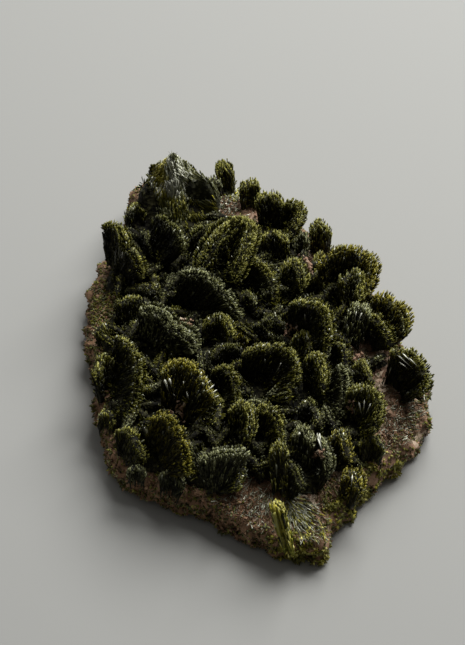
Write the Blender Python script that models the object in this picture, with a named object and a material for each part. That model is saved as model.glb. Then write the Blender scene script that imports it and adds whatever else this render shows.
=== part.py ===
"""Epidote specimen: fans of fine crystals that stand on a slab of host rock.

The slab lies on its flat underside at Z = 0, with its crystals up. Lengths in the
tables are millimetres. A place in a table is read from the specimen's front view,
taken VIEW_ELEVATION above the horizon and VIEW_DISTANCE away: first how far across
(to the right), then how far up the view, both from the point VIEW_TARGET.
"""

import math
import random
from dataclasses import dataclass

import bmesh
import bpy
from mathutils import Vector, noise

MM = 0.001

# The view that places are read from
VIEW_ELEVATION = math.radians(55.0)
VIEW_DISTANCE = 500.0
VIEW_TARGET = Vector((0.7, -3.6, 9.0))

# Host rock
RIM_HEIGHT = 8.5
RIM_DROP = 1.6
ROCK_ROUGHNESS = 0.7
SECTORS = 42
RINGS = 6
TOP_SHARE = 0.93
EDGE_RIPPLE = 1.3
WALL_STEPS = ((0.965, 0.95), (1.0, 0.66), (0.985, 0.4), (1.0, 0.16), (0.965, 0.0))

# Crust of small crystals
GAP = 0.3
CRUST_THICKNESS = 1.3
CRUST_GRAIN = 0.4
CRUST_LIFT = 0.15
PATCH_SIDES = 9

# Sprays
BLADE_WIDTH = 2.6
FOOT_SHARE = 0.5
FOOT_THICKNESS = 0.6
SHOULDER = 0.9
SPRAY_SINK = 1.0
SPRAY_LIFT = 0.6
LEAST_LEAN = 0.4
MOST_LEAN = 0.8

# Low sprays that fill the ground between the listed ones
FILL_TRIES = 190
FILL_SHARE = 0.86
FILL_REACH = (3.6, 5.6)
FILL_CLEARANCE = 0.9
FILL_SPREAD = 0.5
FILL_LEAN = 0.35
FILL_THICKNESS = 2.0

# Bare rock around a spray that stands apart
CLEAR_SHARE = 0.26
CLEAR_MARGIN = 4.5

# The rock's edge: across, up, and the height at which the edge is seen there
ROCK_EDGE = (
    (0.0, -38.4, 1.0),
    (6.0, -40.2, 1.0),
    (10.6, -40.2, 1.0),
    (13.6, -41.0, 1.0),
    (14.0, -34.4, 2.0),
    (18.0, -31.0, 3.0),
    (19.4, -28.0, 4.0),
    (24.0, -23.6, 4.0),
    (30.4, -19.2, 4.0),
    (33.4, -14.0, 4.0),
    (34.0, -9.0, 5.0),
    (32.0, -2.0, 7.0),
    (28.0, 6.0, 8.0),
    (23.0, 13.0, 8.0),
    (17.0, 20.0, 8.0),
    (11.0, 26.0, 8.0),
    (4.0, 31.0, 8.0),
    (-4.0, 35.5, 8.0),
    (-12.0, 38.0, 8.0),
    (-19.0, 38.0, 8.0),
    (-24.6, 34.6, 8.0),
    (-28.6, 26.0, 8.0),
    (-32.0, 19.0, 6.0),
    (-34.4, 12.0, 5.0),
    (-34.6, 4.0, 5.0),
    (-33.4, -4.0, 4.0),
    (-32.0, -14.0, 3.0),
    (-29.6, -22.6, 2.0),
    (-26.0, -26.6, 1.0),
    (-19.0, -29.6, 1.0),
    (-11.0, -32.0, 1.0),
    (-6.0, -35.0, 1.0),
)


@dataclass(frozen=True)
class Mound:
    """A round rise or dip of the rock: its place in the view, height and radius."""

    across: float
    up: float
    rise: float
    radius: float


@dataclass(frozen=True)
class Spray:
    """A fan of crystals that radiate from a short foot to a curved crest."""

    foot: tuple
    reach: float
    crest: tuple
    thickness: float = 2.6
    node: str = ""


MOUNDS = (
    Mound(-18.0, 32.0, 8.5, 8.5),
    Mound(-6.0, 12.0, 1.6, 12.0),
    Mound(10.0, 10.0, 1.8, 12.0),
    Mound(-20.0, -4.0, 1.0, 10.0),
    Mound(20.0, -8.0, 1.2, 10.0),
    Mound(2.0, -18.0, 0.8, 10.0),
    Mound(8.0, -34.0, -1.2, 8.0),
    Mound(-10.0, 30.6, -1.5, 5.0),
)

# Where the rock is bare
BARE_PATCHES = (
    Mound(-1.0, -31.5, 0.0, 8.0),
    Mound(29.4, -12.4, 0.0, 8.5),
    Mound(29.2, 0.2, 0.0, 3.2),
    Mound(-31.5, 10.0, 0.0, 4.5),
    Mound(-6.5, 30.4, 0.0, 3.6),
    Mound(10.5, 20.0, 0.0, 3.2),
    Mound(19.0, 2.4, 0.0, 2.4),
    Mound(6.5, 5.0, 0.0, 2.2),
    Mound(-16.6, -10.4, 0.0, 1.8),
)

GROWN_SPRAYS = (
    Spray((-18.4, 30.0), 12.0, ((-20.6, 38.4), (-18.8, 40.6), (-16.8, 41.6), (-14.6, 40.6)), 4.2),
    Spray((-22.4, 28.8), 9.6, ((-25.4, 33.8), (-24.0, 36.6), (-21.6, 38.2)), 3.2),
    Spray((-14.6, 31.0), 9.0, ((-14.6, 40.0), (-12.4, 37.8), (-10.4, 35.6), (-9.4, 33.2)), 2.2),
    Spray((-9.8, 31.8), 6.5, ((-11.4, 35.4), (-9.4, 37.0), (-7.8, 36.0)), 2.4),
    Spray((-28.4, 17.0), 13.0, ((-31.2, 28.0), (-28.4, 28.0), (-26.4, 24.2), (-24.2, 21.0), (-22.8, 17.0))),
    Spray((-25.0, 27.0), 5.5, ((-26.8, 30.2), (-24.8, 31.8), (-23.0, 30.8)), 2.0),
    Spray((-21.0, 19.0), 12.0, ((-20.0, 30.0), (-17.6, 28.6), (-15.6, 26.2), (-14.6, 23.0))),
    Spray((-11.0, 20.0), 9.5, ((-14.4, 25.4), (-12.0, 27.2), (-9.0, 27.8), (-6.2, 28.4))),
    Spray((-9.4, 17.6), 12.0, ((-12.4, 19.0), (-10.4, 23.4), (-8.0, 26.4), (-5.0, 28.8)), 4.4),
    Spray((-6.4, 17.0), 13.0, ((-4.6, 29.4), (-0.8, 27.4), (-2.0, 22.0), (-4.4, 16.0)), 3.4),
    Spray((-13.0, 9.4), 12.0, ((-15.6, 18.4), (-12.0, 18.2), (-9.4, 17.2), (-6.0, 13.4), (-2.8, 8.6))),
    Spray((-22.4, 11.6), 5.4, ((-26.0, 15.0), (-23.0, 15.6), (-20.0, 15.4)), 2.0),
    Spray((-26.0, 6.6), 8.0, ((-29.0, 12.2), (-26.4, 13.2), (-24.0, 13.4)), 2.2),
    Spray((-21.0, 2.0), 11.5, ((-23.4, 11.4), (-19.4, 10.4), (-16.0, 7.2), (-12.8, 5.0), (-12.0, 2.0)), 4.6),
    Spray((-28.6, -6.0), 11.0, ((-28.0, 5.6), (-24.4, 2.6), (-23.4, -2.0), (-24.0, -7.0), (-26.0, -13.0)), 2.6),
    Spray((-16.6, -11.0), 13.0, ((-19.4, -1.2), (-16.0, 0.8), (-12.0, -1.4), (-8.4, -7.0))),
    Spray((-11.2, -12.4), 6.6, ((-9.4, -5.8), (-7.0, -8.0), (-7.6, -11.0), (-9.6, -13.2)), 2.2),
    Spray((-20.0, -20.4), 12.0, ((-21.4, -10.4), (-18.4, -10.2), (-15.4, -14.0), (-14.0, -19.0), (-13.6, -23.0)), 2.6),
    Spray((-8.0, -26.2), 11.0, ((-12.4, -19.0), (-9.0, -17.8), (-5.0, -17.4), (-2.0, -17.6)), 2.6),
    Spray((-7.0, -25.0), 5.6, ((-3.6, -20.4), (-3.0, -23.0), (-4.4, -26.0)), 2.0),
    Spray((-8.4, -8.0), 9.0, ((-8.8, -1.2), (-6.6, -0.8), (-4.2, -3.6), (-3.8, -8.0), (-5.0, -12.0)), 2.2),
    Spray((-6.4, -2.4), 8.0, ((-10.0, 1.6), (-8.0, 3.6), (-3.0, 3.2)), 2.2),
    Spray((1.0, -5.4), 12.0, ((-3.0, 2.4), (1.0, 3.4), (5.6, 3.4), (8.4, -1.6), (6.8, -6.6), (3.6, -7.8))),
    Spray((0.4, -16.0), 9.5, ((-1.4, -9.2), (2.0, -8.8), (4.6, -12.0), (5.0, -17.0)), 2.2),
    Spray((9.0, 3.0), 12.0, ((6.4, 12.4), (9.6, 12.4), (13.2, 11.2), (14.6, 6.6), (14.0, 2.6)), 2.8),
    Spray((15.0, -0.6), 6.0, ((15.4, 4.0), (17.4, 2.6), (18.2, -2.0)), 2.0),
    Spray((13.0, -8.0), 10.0, ((16.8, -0.6), (18.0, -3.6), (17.6, -9.0), (15.6, -14.0)), 2.8),
    Spray((19.6, -13.8), 11.0, ((17.8, -5.2), (21.6, -4.4), (24.6, -8.0), (23.8, -13.8))),
    Spray((2.0, 26.6), 9.0, ((-1.0, 32.8), (1.8, 34.2), (4.6, 32.4)), 3.4),
    Spray((5.6, 24.6), 9.5, ((4.6, 32.2), (7.6, 32.6), (9.0, 30.6), (7.2, 25.6)), 2.6),
    Spray((17.0, 13.6), 12.0, ((11.6, 20.0), (14.0, 22.4), (19.4, 23.2), (23.4, 20.0), (22.4, 14.0)), 3.0),
    Spray((18.0, 9.4), 10.0, ((16.0, 17.0), (18.8, 18.8), (21.2, 17.4), (20.4, 13.0)), 2.6),
    Spray((22.4, 3.0), 8.4, ((22.2, 10.2), (24.2, 8.4), (26.2, 5.6), (27.0, 2.6))),
    Spray((18.0, 2.8), 9.6, ((18.2, 11.2), (20.4, 12.0), (22.4, 10.2)), 3.0),
    Spray((-2.0, 14.0), 8.6, ((-2.6, 21.4), (0.8, 19.8), (3.6, 15.6), (4.0, 10.4)), 2.4),
    Spray((-2.4, 9.4), 5.4, ((-4.2, 13.4), (-2.4, 14.4), (-0.8, 12.8)), 2.2),
    Spray((-4.4, 1.8), 5.4, ((-4.6, 5.8), (-3.4, 6.6), (-2.2, 4.8)), 1.8),
    Spray((11.2, 13.0), 6.0, ((10.2, 17.2), (11.6, 18.2), (12.8, 16.4)), 2.2),
    Spray((3.0, 19.4), 8.0, ((0.2, 25.6), (3.0, 26.6), (5.8, 24.6))),
    Spray((6.4, 13.4), 8.6, ((4.6, 19.4), (7.0, 21.0), (9.0, 17.6), (8.8, 14.6))),
    Spray((2.4, 4.4), 6.4, ((0.2, 8.4), (2.8, 9.8), (5.0, 7.6)), 2.2),
    Spray((-9.0, 3.0), 8.0, ((-11.2, 8.2), (-8.0, 9.8), (-5.6, 7.6), (-5.0, 4.0)), 2.2),
    Spray((-31.4, -7.0), 8.8, ((-33.2, -2.2), (-31.8, 1.6), (-29.4, 1.2)), 2.2),
    Spray((-26.4, -20.4), 8.0, ((-28.6, -13.2), (-25.4, -13.6), (-22.2, -19.4)), 2.2),
    Spray((-17.6, -26.4), 5.4, ((-20.0, -22.0), (-17.0, -21.2), (-15.0, -24.0)), 2.0),
    Spray((20.0, -5.6), 6.2, ((18.8, -0.2), (20.8, 0.4), (23.0, -4.0)), 2.0),
    Spray((10.4, -7.6), 10.0, ((9.2, 1.4), (11.6, 2.0), (13.2, -1.0), (13.2, -5.4)), 2.4),
    Spray((9.4, -14.0), 7.4, ((7.8, -8.4), (10.4, -7.4), (13.0, -12.6)), 2.2),
    Spray((-4.0, -17.0), 10.0, ((-6.0, -8.6), (-3.2, -7.8), (-1.2, -10.6), (-1.6, -15.0)), 2.4),
    Spray((22.4, -19.6), 6.0, ((20.0, -15.6), (22.8, -14.4), (25.0, -16.6)), 2.2),
    Spray((8.4, -21.0), 9.0, ((6.8, -13.8), (9.0, -12.8), (10.8, -15.6)), 2.2),
    Spray((11.6, -24.0), 9.6, ((10.8, -14.6), (12.8, -15.0), (14.2, -18.8), (14.0, -22.4)), 2.2),
    Spray((5.4, -26.0), 7.6, ((4.4, -19.6), (6.8, -20.2), (9.2, -25.0)), 2.2),
    Spray((15.6, -20.4), 7.4, ((14.4, -14.4), (16.8, -14.0), (18.6, -19.4)), 2.4),
    Spray((4.2, -26.8), 11.0, ((2.4, -18.2), (4.0, -17.2), (5.6, -18.6)), 2.0),
)

RIM_SPRAYS = (
    Spray((-6.4, 34.4), 6.6, ((-8.8, 38.6), (-7.4, 40.2), (-5.8, 38.8)), 2.6, "far_spray_1"),
    Spray((-2.2, 31.0), 6.8, ((-3.8, 35.4), (-2.2, 36.6), (-0.2, 35.6)), 2.6, "far_spray_2"),
    Spray((12.0, 21.8), 8.0, ((10.2, 27.4), (11.8, 28.4), (14.0, 26.6)), 2.8, "far_spray_3"),
    Spray((24.0, 4.6), 10.6, ((22.8, 13.2), (25.6, 13.8), (29.6, 10.4), (30.0, 6.0)), 3.0, "right_spray_1"),
    Spray((27.6, -5.8), 10.6, ((26.8, 2.8), (30.0, 2.4), (34.4, -2.2), (33.4, -6.2)), 3.0, "right_spray_2"),
    Spray((17.6, -27.0), 6.6, ((16.8, -22.2), (19.2, -21.2), (20.8, -25.6)), 3.0, "front_spray_1"),
    Spray((5.8, -37.0), 11.0, ((1.2, -28.4), (3.4, -27.4), (5.4, -28.8)), 2.4, "front_spray_2"),
)

# Colours as red, green and blue from 0 to 1, then the roughness
EPIDOTE = ((0.045, 0.05, 0.012), 0.32)
HOST_ROCK = ((0.16, 0.105, 0.075), 0.8)


def smooth_step(value):
    """Return a value from 0 to 1 eased at both ends."""
    value = min(max(value, 0.0), 1.0)
    return value * value * (3.0 - 2.0 * value)


def sight(across, up):
    """Return the view's eye and the direction to a place in the view."""
    rise = Vector((0.0, math.sin(VIEW_ELEVATION), math.cos(VIEW_ELEVATION)))
    back = Vector((0.0, -math.cos(VIEW_ELEVATION), math.sin(VIEW_ELEVATION)))
    eye = VIEW_TARGET + VIEW_DISTANCE * back
    place = VIEW_TARGET + Vector((across, 0.0, 0.0)) + up * rise
    return eye, (place - eye).normalized()


def at_height(across, up, height):
    """Return the point at a height that is seen at a place in the view."""
    eye, ray = sight(across, up)
    return eye + ray * ((height - eye.z) / ray.z)


class Rock:
    """The slab's form: an edge around a middle, and a hummocky top."""

    def __init__(self):
        """Work out the edge and the mounds in plan."""
        self.edge = [at_height(*place) for place in ROCK_EDGE]
        low = Vector((min(p.x for p in self.edge), min(p.y for p in self.edge)))
        high = Vector((max(p.x for p in self.edge), max(p.y for p in self.edge)))
        self.middle = (low + high) / 2.0
        self.mounds = [(at_height(m.across, m.up, RIM_HEIGHT), m) for m in MOUNDS]
        apart = [Mound(*s.foot, 0.0, CLEAR_SHARE * s.reach + CLEAR_MARGIN) for s in RIM_SPRAYS]
        self.patches = [(self.on_top(m.across, m.up), m) for m in (*BARE_PATCHES, *apart)]

    def edge_radius(self, angle):
        """Return how far the edge is from the middle in a direction."""
        heading = Vector((math.cos(angle), math.sin(angle)))
        count = len(self.edge)
        for index in range(count):
            start = self.edge[index].xy - self.middle
            side = self.edge[(index + 1) % count].xy - self.middle - start
            span = heading.cross(side)
            if span <= 0.0:
                continue
            share = start.cross(heading) / span
            if 0.0 <= share <= 1.0:
                return start.cross(side) / span
        raise ValueError("the edge doesn't go around the middle")

    def ripple(self, place):
        """Return the fine unevenness of the rock at a point."""
        return noise.noise(place * 0.21) + 0.5 * noise.noise(place * 0.5)

    def top(self, x, y):
        """Return the height of the rock's top over a point in plan."""
        away = Vector((x, y)) - self.middle
        share = away.length / self.edge_radius(math.atan2(away.y, away.x))
        height = RIM_HEIGHT - RIM_DROP * smooth_step((share - 0.75) / 0.3)
        for centre, mound in self.mounds:
            distance = (centre.xy - Vector((x, y))).length / mound.radius
            height += mound.rise * math.exp(-distance * distance)
        return height + ROCK_ROUGHNESS * self.ripple(Vector((x, y, 0.0)))

    def on_top(self, across, up):
        """Return the point of the rock's top that is seen at a place in the view."""
        point = at_height(across, up, RIM_HEIGHT)
        for _ in range(6):
            point = at_height(across, up, self.top(point.x, point.y))
        return point


def ring_points(rock, share, height_at, grow=0.0):
    """Return one ring of points around the rock's middle."""
    points = []
    for sector in range(SECTORS):
        angle = 2.0 * math.pi * sector / SECTORS
        radius = rock.edge_radius(angle) * share + grow
        x = rock.middle.x + radius * math.cos(angle)
        y = rock.middle.y + radius * math.sin(angle)
        points.append(Vector((x, y, height_at(x, y))))
    return points


def top_rings(rock, height_at):
    """Return the rings of points that cover the rock's top, from the middle outward."""
    shares = [TOP_SHARE * ring / RINGS for ring in range(1, RINGS + 1)]
    return [ring_points(rock, share, height_at) for share in shares]


def middle_point(rock, height_at):
    """Return the point over the rock's middle."""
    return Vector((rock.middle.x, rock.middle.y, height_at(rock.middle.x, rock.middle.y)))


def mesh_from_rings(name, rings, top_point, bottom_point, turn=None):
    """Return a closed mesh through rings of points, from its top to its bottom.

    The bands that come after the ring numbered turn have their diagonals the other
    way, so that a sheet's two sides have the same triangles.
    """
    shape = bmesh.new()
    loops = [[shape.verts.new(point * MM) for point in ring] for ring in rings]
    top = shape.verts.new(top_point * MM)
    bottom = shape.verts.new(bottom_point * MM)
    for index in range(SECTORS):
        after = (index + 1) % SECTORS
        shape.faces.new((top, loops[0][index], loops[0][after]))
        shape.faces.new((bottom, loops[-1][after], loops[-1][index]))
        for number, (upper, lower) in enumerate(zip(loops, loops[1:]), 1):
            corners = [upper[index], lower[index], lower[after], upper[after]]
            if turn and number > turn:
                corners = corners[1:] + corners[:1]
            shape.faces.new((corners[0], corners[1], corners[2]))
            shape.faces.new((corners[0], corners[2], corners[3]))
    return finished_mesh(name, shape)


def finished_mesh(name, shape):
    """Turn a bmesh into triangles that face out, and return it as a mesh."""
    bmesh.ops.triangulate(shape, faces=shape.faces[:])
    bmesh.ops.recalc_face_normals(shape, faces=shape.faces[:])
    mesh = bpy.data.meshes.new(name)
    shape.to_mesh(mesh)
    shape.free()
    return mesh


def rock_mesh(rock, name, grow=0.0):
    """Return the slab's mesh, grown outward for use as a cutter."""

    def surface(x, y):
        return rock.top(x, y) + grow

    rings = top_rings(rock, surface)
    rim = rings[-1]
    for share, level in WALL_STEPS:
        wall = ring_points(rock, share, surface, grow)
        for point, above in zip(wall, rim):
            point.z = above.z * level
            outward = (point.xy - rock.middle).normalized()
            bulge = EDGE_RIPPLE * noise.noise(point * 0.33)
            point.xy += outward * (bulge if level < 0.9 else 0.0)
        rings.append(wall)
    bottom = Vector((rock.middle.x, rock.middle.y, 0.0))
    return mesh_from_rings(name, rings, middle_point(rock, surface), bottom)


def crust_mesh(rock, name):
    """Return the mesh of the crust, a rough sheet over the rock's top."""
    dice = random.Random(11)

    def surface(x, y):
        return underside(x, y) + CRUST_THICKNESS + dice.uniform(-CRUST_GRAIN, CRUST_GRAIN)

    def underside(x, y):
        return rock.top(x, y) + GAP + CRUST_LIFT

    rings = top_rings(rock, surface) + top_rings(rock, underside)[::-1]
    ends = middle_point(rock, surface), middle_point(rock, underside)
    return mesh_from_rings(name, rings, *ends, turn=RINGS)


def patch_mesh(centre, radius, name, seed):
    """Return an uneven upright prism, which takes the crust off the rock in one patch."""
    dice = random.Random(seed)
    shape = bmesh.new()
    bmesh.ops.create_cone(
        shape, cap_ends=True, segments=PATCH_SIDES, radius1=radius * MM, radius2=radius * MM, depth=20.0 * MM
    )
    stretch = [dice.uniform(0.8, 1.15) for _ in range(PATCH_SIDES)]
    for vertex in shape.verts:
        side = round(math.atan2(vertex.co.y, vertex.co.x) / (2.0 * math.pi) * PATCH_SIDES)
        vertex.co.xy *= stretch[side % PATCH_SIDES]
        vertex.co += centre * MM
    return finished_mesh(name, shape)


def crest_point(place, foot, reach):
    """Return the point at about the crystals' length from the foot that is seen at a place.

    It lies nearer the eye than the foot does, by LEAST_LEAN to MOST_LEAN of the reach.
    """
    eye, ray = sight(*place)
    along = (foot - eye).dot(ray)
    nearest = eye + ray * along
    miss = (nearest - foot).length
    lean = math.sqrt(max(reach * reach - miss * miss, 0.0))
    return nearest - ray * min(max(lean, LEAST_LEAN * reach), MOST_LEAN * reach)


@dataclass(frozen=True)
class Fan:
    """A spray in place: its foot, points along its crest, and its thickness."""

    foot: Vector
    marks: list
    thickness: float


def placed_fan(rock, spray):
    """Return a listed spray as a fan in place."""
    foot = rock.on_top(*spray.foot)
    marks = [crest_point(place, foot, spray.reach) for place in spray.crest]
    return Fan(foot, marks, spray.thickness)


def filling_fans(rock):
    """Return low fans for the ground between the listed sprays, tried along a spiral."""
    dice = random.Random(5)
    taken = [(rock.on_top(*s.foot).xy, 0.5 * s.reach) for s in (*GROWN_SPRAYS, *RIM_SPRAYS)]
    taken += [(centre.xy, patch.radius) for centre, patch in rock.patches]
    fans = []
    for step in range(FILL_TRIES):
        angle = step * math.pi * (3.0 - math.sqrt(5.0))
        radius = rock.edge_radius(angle) * FILL_SHARE * math.sqrt((step + 0.5) / FILL_TRIES)
        place = rock.middle + radius * Vector((math.cos(angle), math.sin(angle)))
        if any((place - other).length < room + FILL_CLEARANCE for other, room in taken):
            continue
        reach = dice.uniform(*FILL_REACH)
        taken.append((place, 0.5 * reach))
        foot = Vector((place.x, place.y, rock.top(place.x, place.y)))
        heading = dice.uniform(0.0, math.pi)
        lean = Vector((dice.uniform(-FILL_LEAN, FILL_LEAN), dice.uniform(-FILL_LEAN, FILL_LEAN), 1.0))
        across = Vector((math.cos(heading), math.sin(heading), 0.0))
        marks = [foot + reach * (lean + across * side * FILL_SPREAD).normalized() for side in (-1, 0, 1)]
        fans.append(Fan(foot, marks, FILL_THICKNESS))
    return fans


def smooth_curve(points, count):
    """Return points at even steps along a smooth curve through the given points."""
    ends = [2.0 * points[0] - points[1], *points, 2.0 * points[-1] - points[-2]]
    fine = []
    for a, b, c, d in zip(ends, ends[1:], ends[2:], ends[3:]):
        for step in range(12):
            t = step / 12.0
            fine.append(0.5 * (2.0 * b + (c - a) * t + (2.0 * a - 5.0 * b + 4.0 * c - d) * t * t
                               + (3.0 * b - a - 3.0 * c + d) * t * t * t))
    fine.append(points[-1].copy())
    lengths = [0.0]
    for before, after in zip(fine, fine[1:]):
        lengths.append(lengths[-1] + (after - before).length)
    even = []
    for step in range(count + 1):
        goal = lengths[-1] * step / count
        index = max(i for i, length in enumerate(lengths) if length <= goal + 1e-9)
        index = min(index, len(fine) - 2)
        share = (goal - lengths[index]) / (lengths[index + 1] - lengths[index])
        even.append(fine[index].lerp(fine[index + 1], share))
    return even


def face_directions(crest, bases):
    """Return the direction across the fan at each point of its crest.

    It lies between the one there and the mean of them all, so that the faces of a
    tightly curved fan don't cross.
    """
    last = len(crest) - 1
    sides = []
    for index, (tip, base) in enumerate(zip(crest, bases)):
        along = crest[min(index + 1, last)] - crest[max(index - 1, 0)]
        sides.append(along.cross(tip - base).normalized())
    mean = sum(sides, Vector()) / len(sides)
    return [(side + 1.2 * mean).normalized() for side in sides]


def fan_mesh(rock, fan, name, seed, foot_lift):
    """Return a fan's mesh: two ridged faces that widen to a crest of pointed tips."""
    dice = random.Random(seed)
    length = sum((b - a).length for a, b in zip(fan.marks, fan.marks[1:]))
    blades = max(3, round(length / BLADE_WIDTH))
    crest = smooth_curve(fan.marks, blades)
    centre = crest[blades // 2]
    bases = [fan.foot + (tip - centre) * FOOT_SHARE for tip in crest]
    for base in bases:
        base.z = rock.top(base.x, base.y) + foot_lift
    shape = bmesh.new()
    sections = []
    for index, side in enumerate(face_directions(crest, bases)):
        base = bases[index]
        radial = crest[index] - base
        taper = 0.62 if index in (0, blades) else 1.0
        ridge = 1.0 + (0.14 if index % 2 else -0.1)
        half = 0.5 * fan.thickness * taper * ridge
        shoulder = base + radial * (SHOULDER + dice.uniform(-0.03, 0.03))
        corners = (
            base - side * half * FOOT_THICKNESS,
            base + side * half * FOOT_THICKNESS,
            shoulder + side * half,
            shoulder - side * half,
        )
        sections.append([shape.verts.new(point * MM) for point in corners])
    for index, (one, two) in enumerate(zip(sections, sections[1:])):
        for edge in range(4):
            following = (edge + 1) % 4
            if edge == 2:
                continue
            shape.faces.new((one[edge], one[following], two[following], two[edge]))
        middle = (crest[index] + crest[index + 1]) / 2.0
        outward = (middle - fan.foot).normalized()
        sway = one[2].co - one[3].co
        apex = middle + outward * dice.uniform(-0.25, 0.35)
        tip = shape.verts.new(apex * MM + sway * dice.uniform(-0.22, 0.22))
        rim = (one[2], one[3], two[3], two[2])
        for edge in range(4):
            shape.faces.new((rim[edge], rim[(edge + 1) % 4], tip))
    shape.faces.new(sections[0])
    shape.faces.new(sections[-1])
    return finished_mesh(name, shape)


def make_material(name, finish):
    """Return a Principled material of a colour and a roughness."""
    colour, roughness = finish
    material = bpy.data.materials.new(name)
    material.use_nodes = True
    shader = material.node_tree.nodes["Principled BSDF"]
    shader.inputs["Base Color"].default_value = (*colour, 1.0)
    shader.inputs["Roughness"].default_value = roughness
    shader.inputs["Metallic"].default_value = 0.0
    material.diffuse_color = (*colour, 1.0)
    return material


def add_object(name, mesh, collection, material=None):
    """Put a mesh in a collection as a named object."""
    thing = bpy.data.objects.new(name, mesh)
    if material:
        mesh.materials.append(material)
    collection.objects.link(thing)
    return thing


def add_cutter(name, mesh, collection):
    """Put a mesh in the cutters' collection, drawn as wire and not rendered."""
    cutter = add_object(name, mesh, collection)
    cutter.hide_render = True
    cutter.display_type = "WIRE"
    return cutter


def combine(target, name, operation, thing=None, collection=None):
    """Join one shape or a collection of shapes to an object, or cut it away."""
    modifier = target.modifiers.new(name, "BOOLEAN")
    modifier.operation = operation
    modifier.solver = "EXACT"
    if collection:
        modifier.operand_type = "COLLECTION"
        modifier.collection = collection
    else:
        modifier.object = thing


def new_collection(name):
    """Make a collection in the scene."""
    collection = bpy.data.collections.new(name)
    bpy.context.scene.collection.children.link(collection)
    return collection


def main():
    """Build the specimen."""
    for thing in list(bpy.data.objects):
        bpy.data.objects.remove(thing)
    specimen = new_collection("epidote_specimen")
    cutters = new_collection("cutters")
    patches = new_collection("bare_patches")
    grown = new_collection("grown_sprays")
    rock = Rock()
    add_object("matrix", rock_mesh(rock, "matrix"), specimen, make_material("host_rock", HOST_ROCK))
    clearance = add_cutter("rock_clearance", rock_mesh(rock, "rock_clearance", GAP), cutters)

    for number, (centre, patch) in enumerate(rock.patches, 1):
        name = f"bare_patch_{number}"
        add_cutter(name, patch_mesh(centre, patch.radius, name, number), patches)
    fans = [placed_fan(rock, spray) for spray in GROWN_SPRAYS] + filling_fans(rock)
    for number, fan in enumerate(fans, 1):
        name = f"grown_spray_{number}"
        add_cutter(name, fan_mesh(rock, fan, name, number, GAP + SPRAY_LIFT), grown)

    epidote = make_material("epidote", EPIDOTE)
    crust = add_object("epidote_crust", crust_mesh(rock, "epidote_crust"), specimen, epidote)
    combine(crust, "bare_rock", "DIFFERENCE", collection=patches)
    combine(crust, "grown_together", "UNION", collection=grown)
    combine(crust, "clear_of_rock", "DIFFERENCE", thing=clearance)

    for number, spray in enumerate(RIM_SPRAYS, 101):
        material = make_material(f"epidote_{spray.node}", EPIDOTE)
        mesh = fan_mesh(rock, placed_fan(rock, spray), spray.node, number, -SPRAY_SINK)
        apart = add_object(spray.node, mesh, specimen, material)
        combine(apart, "clear_of_rock", "DIFFERENCE", thing=clearance)


main()
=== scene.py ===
"""Looks of the epidote specimen: fans of fine dark green crystals on pinkish host rock.

The specimen lies on its flat underside at Z = 0, crystals up. Lengths here are
millimetres until a mesh is made. A place in a table is read from the specimen's
front view: first how far across (to the right), then how far up the view, both
from the view's target.
"""

from __future__ import annotations

import logging
import math
import random
from dataclasses import dataclass, field
from enum import Enum

import bpy
import numpy as np
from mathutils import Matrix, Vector, noise

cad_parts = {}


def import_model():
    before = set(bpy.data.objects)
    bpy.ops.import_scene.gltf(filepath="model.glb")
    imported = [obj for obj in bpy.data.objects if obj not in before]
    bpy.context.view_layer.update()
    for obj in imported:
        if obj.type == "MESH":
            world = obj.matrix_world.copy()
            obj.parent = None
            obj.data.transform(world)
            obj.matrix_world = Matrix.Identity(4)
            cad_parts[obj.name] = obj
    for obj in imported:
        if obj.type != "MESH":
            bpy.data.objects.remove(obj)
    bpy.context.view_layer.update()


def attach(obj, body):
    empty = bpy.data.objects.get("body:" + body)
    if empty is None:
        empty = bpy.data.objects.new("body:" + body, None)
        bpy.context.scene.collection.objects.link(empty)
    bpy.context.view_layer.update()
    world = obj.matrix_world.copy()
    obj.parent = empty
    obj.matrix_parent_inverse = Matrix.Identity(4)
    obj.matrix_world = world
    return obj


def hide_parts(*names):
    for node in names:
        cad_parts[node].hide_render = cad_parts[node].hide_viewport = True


LOG = logging.getLogger("epidote")
MM = 0.001
PICTURE_SIZE = (465, 645)
PIXELS_PER_MM = 5.0
TARGET_PIXEL = (260.0, 360.0)

# The rock's edge: across, up, and the height at which the edge is seen there
ROCK_EDGE = (
    (0.0, -38.4, 1.0), (6.0, -40.2, 1.0), (10.6, -40.2, 1.0), (13.6, -41.0, 1.0),
    (14.0, -34.4, 2.0), (18.0, -31.0, 3.0), (19.4, -28.0, 4.0), (24.0, -23.6, 4.0),
    (30.4, -19.2, 4.0), (33.4, -14.0, 4.0), (34.0, -9.0, 5.0), (32.0, -2.0, 7.0),
    (28.0, 6.0, 8.0), (23.0, 13.0, 8.0), (17.0, 20.0, 8.0), (11.0, 26.0, 8.0),
    (4.0, 31.0, 8.0), (-4.0, 35.5, 8.0), (-12.0, 38.0, 8.0), (-19.0, 38.0, 8.0),
    (-24.6, 34.6, 8.0), (-28.6, 26.0, 8.0), (-32.0, 19.0, 6.0), (-34.4, 12.0, 5.0),
    (-34.6, 4.0, 5.0), (-33.4, -4.0, 4.0), (-32.0, -14.0, 3.0), (-29.6, -22.6, 2.0),
    (-26.0, -26.6, 1.0), (-19.0, -29.6, 1.0), (-11.0, -32.0, 1.0), (-6.0, -35.0, 1.0),
)


class Tone(Enum):
    """The colour family of a crystal, in the order of the crystal finish's ramps."""

    MOSS = 0
    OLIVE = 1
    GREY = 2
    GOLD = 3
    # Pale grey green crystals, and also painted highlights: pale strays and bars of this tone stand for glints.
    PALE = 4
    BROWN = 5
    # Painted through-light: a yellow green lightened as if thin crystals were lit from behind.
    BACKLIT = 6


@dataclass(frozen=True)
class Mound:
    """A round rise, dip or bare place of the rock: where it is, its height and radius."""

    across: float
    up: float
    rise: float
    radius: float


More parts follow.
